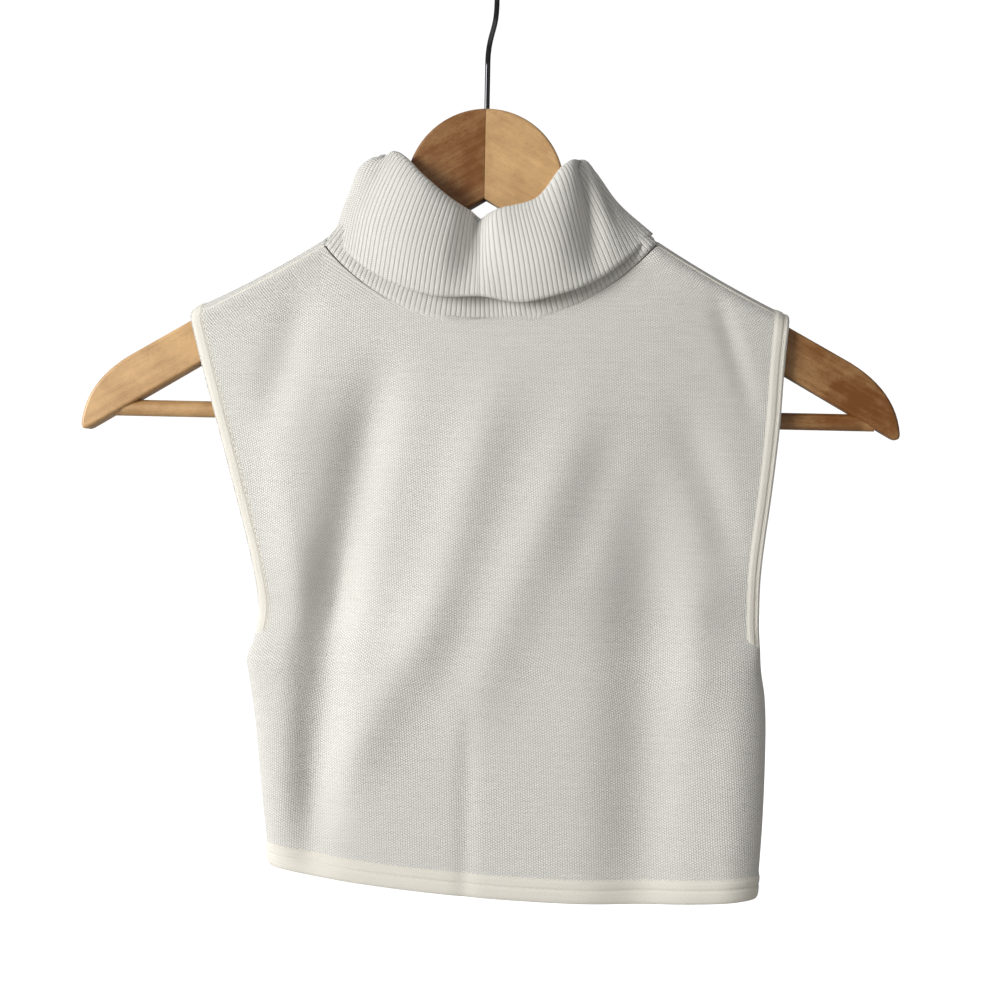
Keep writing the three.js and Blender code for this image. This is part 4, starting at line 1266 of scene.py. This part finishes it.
class DICKEY_OT_hanger(DickeyOperator, bpy.types.Operator):
    """Build the wooden hanger, its trouser bar and the wire hook"""

    bl_idname = "dickey.hanger"
    bl_label = "Clothes Hanger"

    def execute(self, context):
        hanger = context.scene.dickey_hanger
        finish = context.scene.dickey_finishes
        colours = hex_of(finish.light_wood), hex_of(finish.dark_wood)
        slope = math.atan(TOP_SLOPE)
        knot = (0.215, -0.006, -0.245)
        # Partly the wood's own tone and partly painted shade: the left half darkens towards the joint, where
        # the collar's shadow falls, and the right half towards its tip; the rod darkens towards the right.
        left = wood_material("varnished_beech_left", colours, slope, (-0.075, -0.03), tone_and_shade_depth=0.6)
        right = wood_material("varnished_beech_right", colours, -slope, (0.02, 0.13), knot=knot)
        rod = wood_material("varnished_beech_rod", colours, 0.0, (-0.3, 0.2), tone_and_shade_depth=0.55)
        for side, hand, wood, slot in (("left", -1, left, "light_wood"), ("right", 1, right, "dark_wood")):
            mesh = wood_half(f"wood_arm_{side}", hand, hanger)
            add_piece(f"wood_arm_{side}", mesh, wood, [f"hanger_arm_{side}"])
        end = hanger.half_span - BAR_BEDDED
        along = np.linspace(-end, end, 60)
        across, down = along * math.cos(BAR_TILT), -BAR_DROP - along * math.sin(BAR_TILT)
        path = np.stack([across, np.zeros_like(along), down], axis=-1)
        points, quads = tube(path, hanger.bar_radius, 32)
        add_piece("trouser_bar", quad_mesh("trouser_bar", points, quads), rod, ["hanger_bar"])
        path = hook_path(hanger)
        radii = np.full(len(path), hanger.wire / 2)
        radii[-1] *= 0.6
        points, quads = tube(path, radii, 20)
        chrome_painted_dark = chrome_material(hex_of(finish.chrome_painted_dark))
        add_piece("wire_hook", quad_mesh("wire_hook", points, quads), chrome_painted_dark, ["hanger_hook"])
        return {"FINISHED"}


class DICKEY_OT_stage(DickeyOperator, bpy.types.Operator):
    """Set the floor, the lights and the camera"""

    bl_idname = "dickey.stage"
    bl_label = "Studio"

    def execute(self, context):
        scene = context.scene
        sizes = scene.dickey_stage
        self.floor(sizes)
        self.world(scene)
        middle = Vector((0, 0, -0.3))
        self.area_light("key_light", (-2.05, -1.5, 0.1), middle, 1.1, sizes.key_power)
        self.area_light("fill_light", (1.7, -1.3, -0.1), middle, 1.5, sizes.fill_power)
        self.area_light("top_light", (0.2, 0.3, 1.5), middle, 1.2, sizes.fill_power)
        camera = bpy.data.objects.new("front_camera", bpy.data.cameras.new("front_camera"))
        context.collection.objects.link(camera)
        camera.data.sensor_width = 36
        camera.data.lens = 59.78
        camera.data.clip_start, camera.data.clip_end = 0.05, 50
        azimuth, roll = math.radians(6.09), math.radians(1.06)
        right = Vector((math.cos(azimuth), math.sin(azimuth), 0))
        forward = Vector((-math.sin(azimuth), math.cos(azimuth), 0))
        up = Vector((0, 0, 1))
        camera_x = right * math.cos(roll) + up * math.sin(roll)
        camera_y = up * math.cos(roll) - right * math.sin(roll)
        turned = Matrix((camera_x, camera_y, -forward)).transposed().to_4x4()
        camera.matrix_world = Matrix.Translation((0.10639, -0.89376, -0.29742)) @ turned
        scene.camera = camera
        scene.view_settings.view_transform = "Standard"
        return {"FINISHED"}

    def floor(self, sizes):
        mesh = bpy.data.meshes.new("studio_floor")
        turn = np.linspace(0, 2 * np.pi, 64, endpoint=False)
        rim = [(6 * math.cos(a), 6 * math.sin(a), -sizes.floor_drop) for a in turn]
        mesh.from_pydata(rim, [], [tuple(range(64))])
        material, tree, shader = new_material("matt_studio_paper")
        shader.inputs["Base Color"].default_value = linear("#C9C7C3")
        shader.inputs["Roughness"].default_value = 0.9
        seen = add_node(tree, "LightPath").outputs["Is Camera Ray"]
        tree.links.new(seen, shader.inputs["Emission Strength"])
        shader.inputs["Emission Color"].default_value = (1, 1, 1, 1)
        mesh.materials.append(material)
        floor = bpy.data.objects.new("studio_floor", mesh)
        bpy.context.collection.objects.link(floor)

    def world(self, scene):
        """White to the camera, and to the object a soft light that is strongest from the upper left."""
        world = bpy.data.worlds.new("studio")
        scene.world = world
        world.use_nodes = True
        tree = world.node_tree
        tree.nodes.clear()
        way = add_node(tree, "TexCoord").outputs["Generated"]
        towards = add_node(tree, "VectorMath", way, (-0.6, -0.5, 0.6), operation="DOT_PRODUCT")
        level = add_node(
            tree,
            "MapRange",
            towards.outputs["Value"],
            named={"From Min": -1.0, "To Min": 0.09, "To Max": 0.36},
        )
        around = add_node(tree, "Background", (1, 1, 1, 1), level)
        seen = add_node(tree, "Background", (1, 1, 1, 1), 1.05)
        ray = add_node(tree, "LightPath").outputs["Is Camera Ray"]
        both = add_node(tree, "MixShader", ray, around, seen)
        output = add_node(tree, "OutputWorld", both)
        output.is_active_output = True

    def area_light(self, name, place, target, size, power):
        light = bpy.data.lights.new(name, "AREA")
        light.shape = "SQUARE"
        light.size = size
        light.energy = power
        lamp = bpy.data.objects.new(name, light)
        lamp.location = place
        lamp.rotation_euler = (target - Vector(place)).to_track_quat("-Z", "Y").to_euler()
        bpy.context.collection.objects.link(lamp)


class DICKEY_PT_tools(bpy.types.Panel):
    """The dickey's pieces and sizes"""

    bl_label = "Turtleneck Dickey"
    bl_idname = "DICKEY_PT_tools"
    bl_space_type = "VIEW_3D"
    bl_region_type = "UI"
    bl_category = "Dickey"

    def draw(self, context):
        layout = self.layout
        for operator in OPERATORS:
            layout.operator(operator.bl_idname)
        for name in GROUPS:
            group = getattr(context.scene, name)
            box = layout.box()
            for key in group.__annotations__:
                box.prop(group, key)


GROUPS = {
    "dickey_body": DickeyBodySizes,
    "dickey_collar": DickeyCollarSizes,
    "dickey_hem": DickeyHemSizes,
    "dickey_hanger": DickeyHangerSizes,
    "dickey_finishes": DickeyFinishes,
    "dickey_stage": DickeyStageSizes,
}
OPERATORS = (
    DICKEY_OT_body,
    DICKEY_OT_collar,
    DICKEY_OT_hems,
    DICKEY_OT_seams,
    DICKEY_OT_hanger,
    DICKEY_OT_stage,
)
CLASSES = (*GROUPS.values(), *OPERATORS, DICKEY_PT_tools)


def register():
    for each in CLASSES:
        bpy.utils.register_class(each)
    for name, group in GROUPS.items():
        setattr(bpy.types.Scene, name, bpy.props.PointerProperty(type=group))


def unregister():
    for name in GROUPS:
        delattr(bpy.types.Scene, name)
    for each in reversed(CLASSES):
        bpy.utils.unregister_class(each)


def main():
    register()
    bpy.ops.dickey.hanger()
    bpy.ops.dickey.body()
    bpy.ops.dickey.collar()
    bpy.ops.dickey.hems()
    bpy.ops.dickey.seams()
    bpy.ops.dickey.stage()
    bpy.context.view_layer.update()


if __name__ == "__main__":
    main()
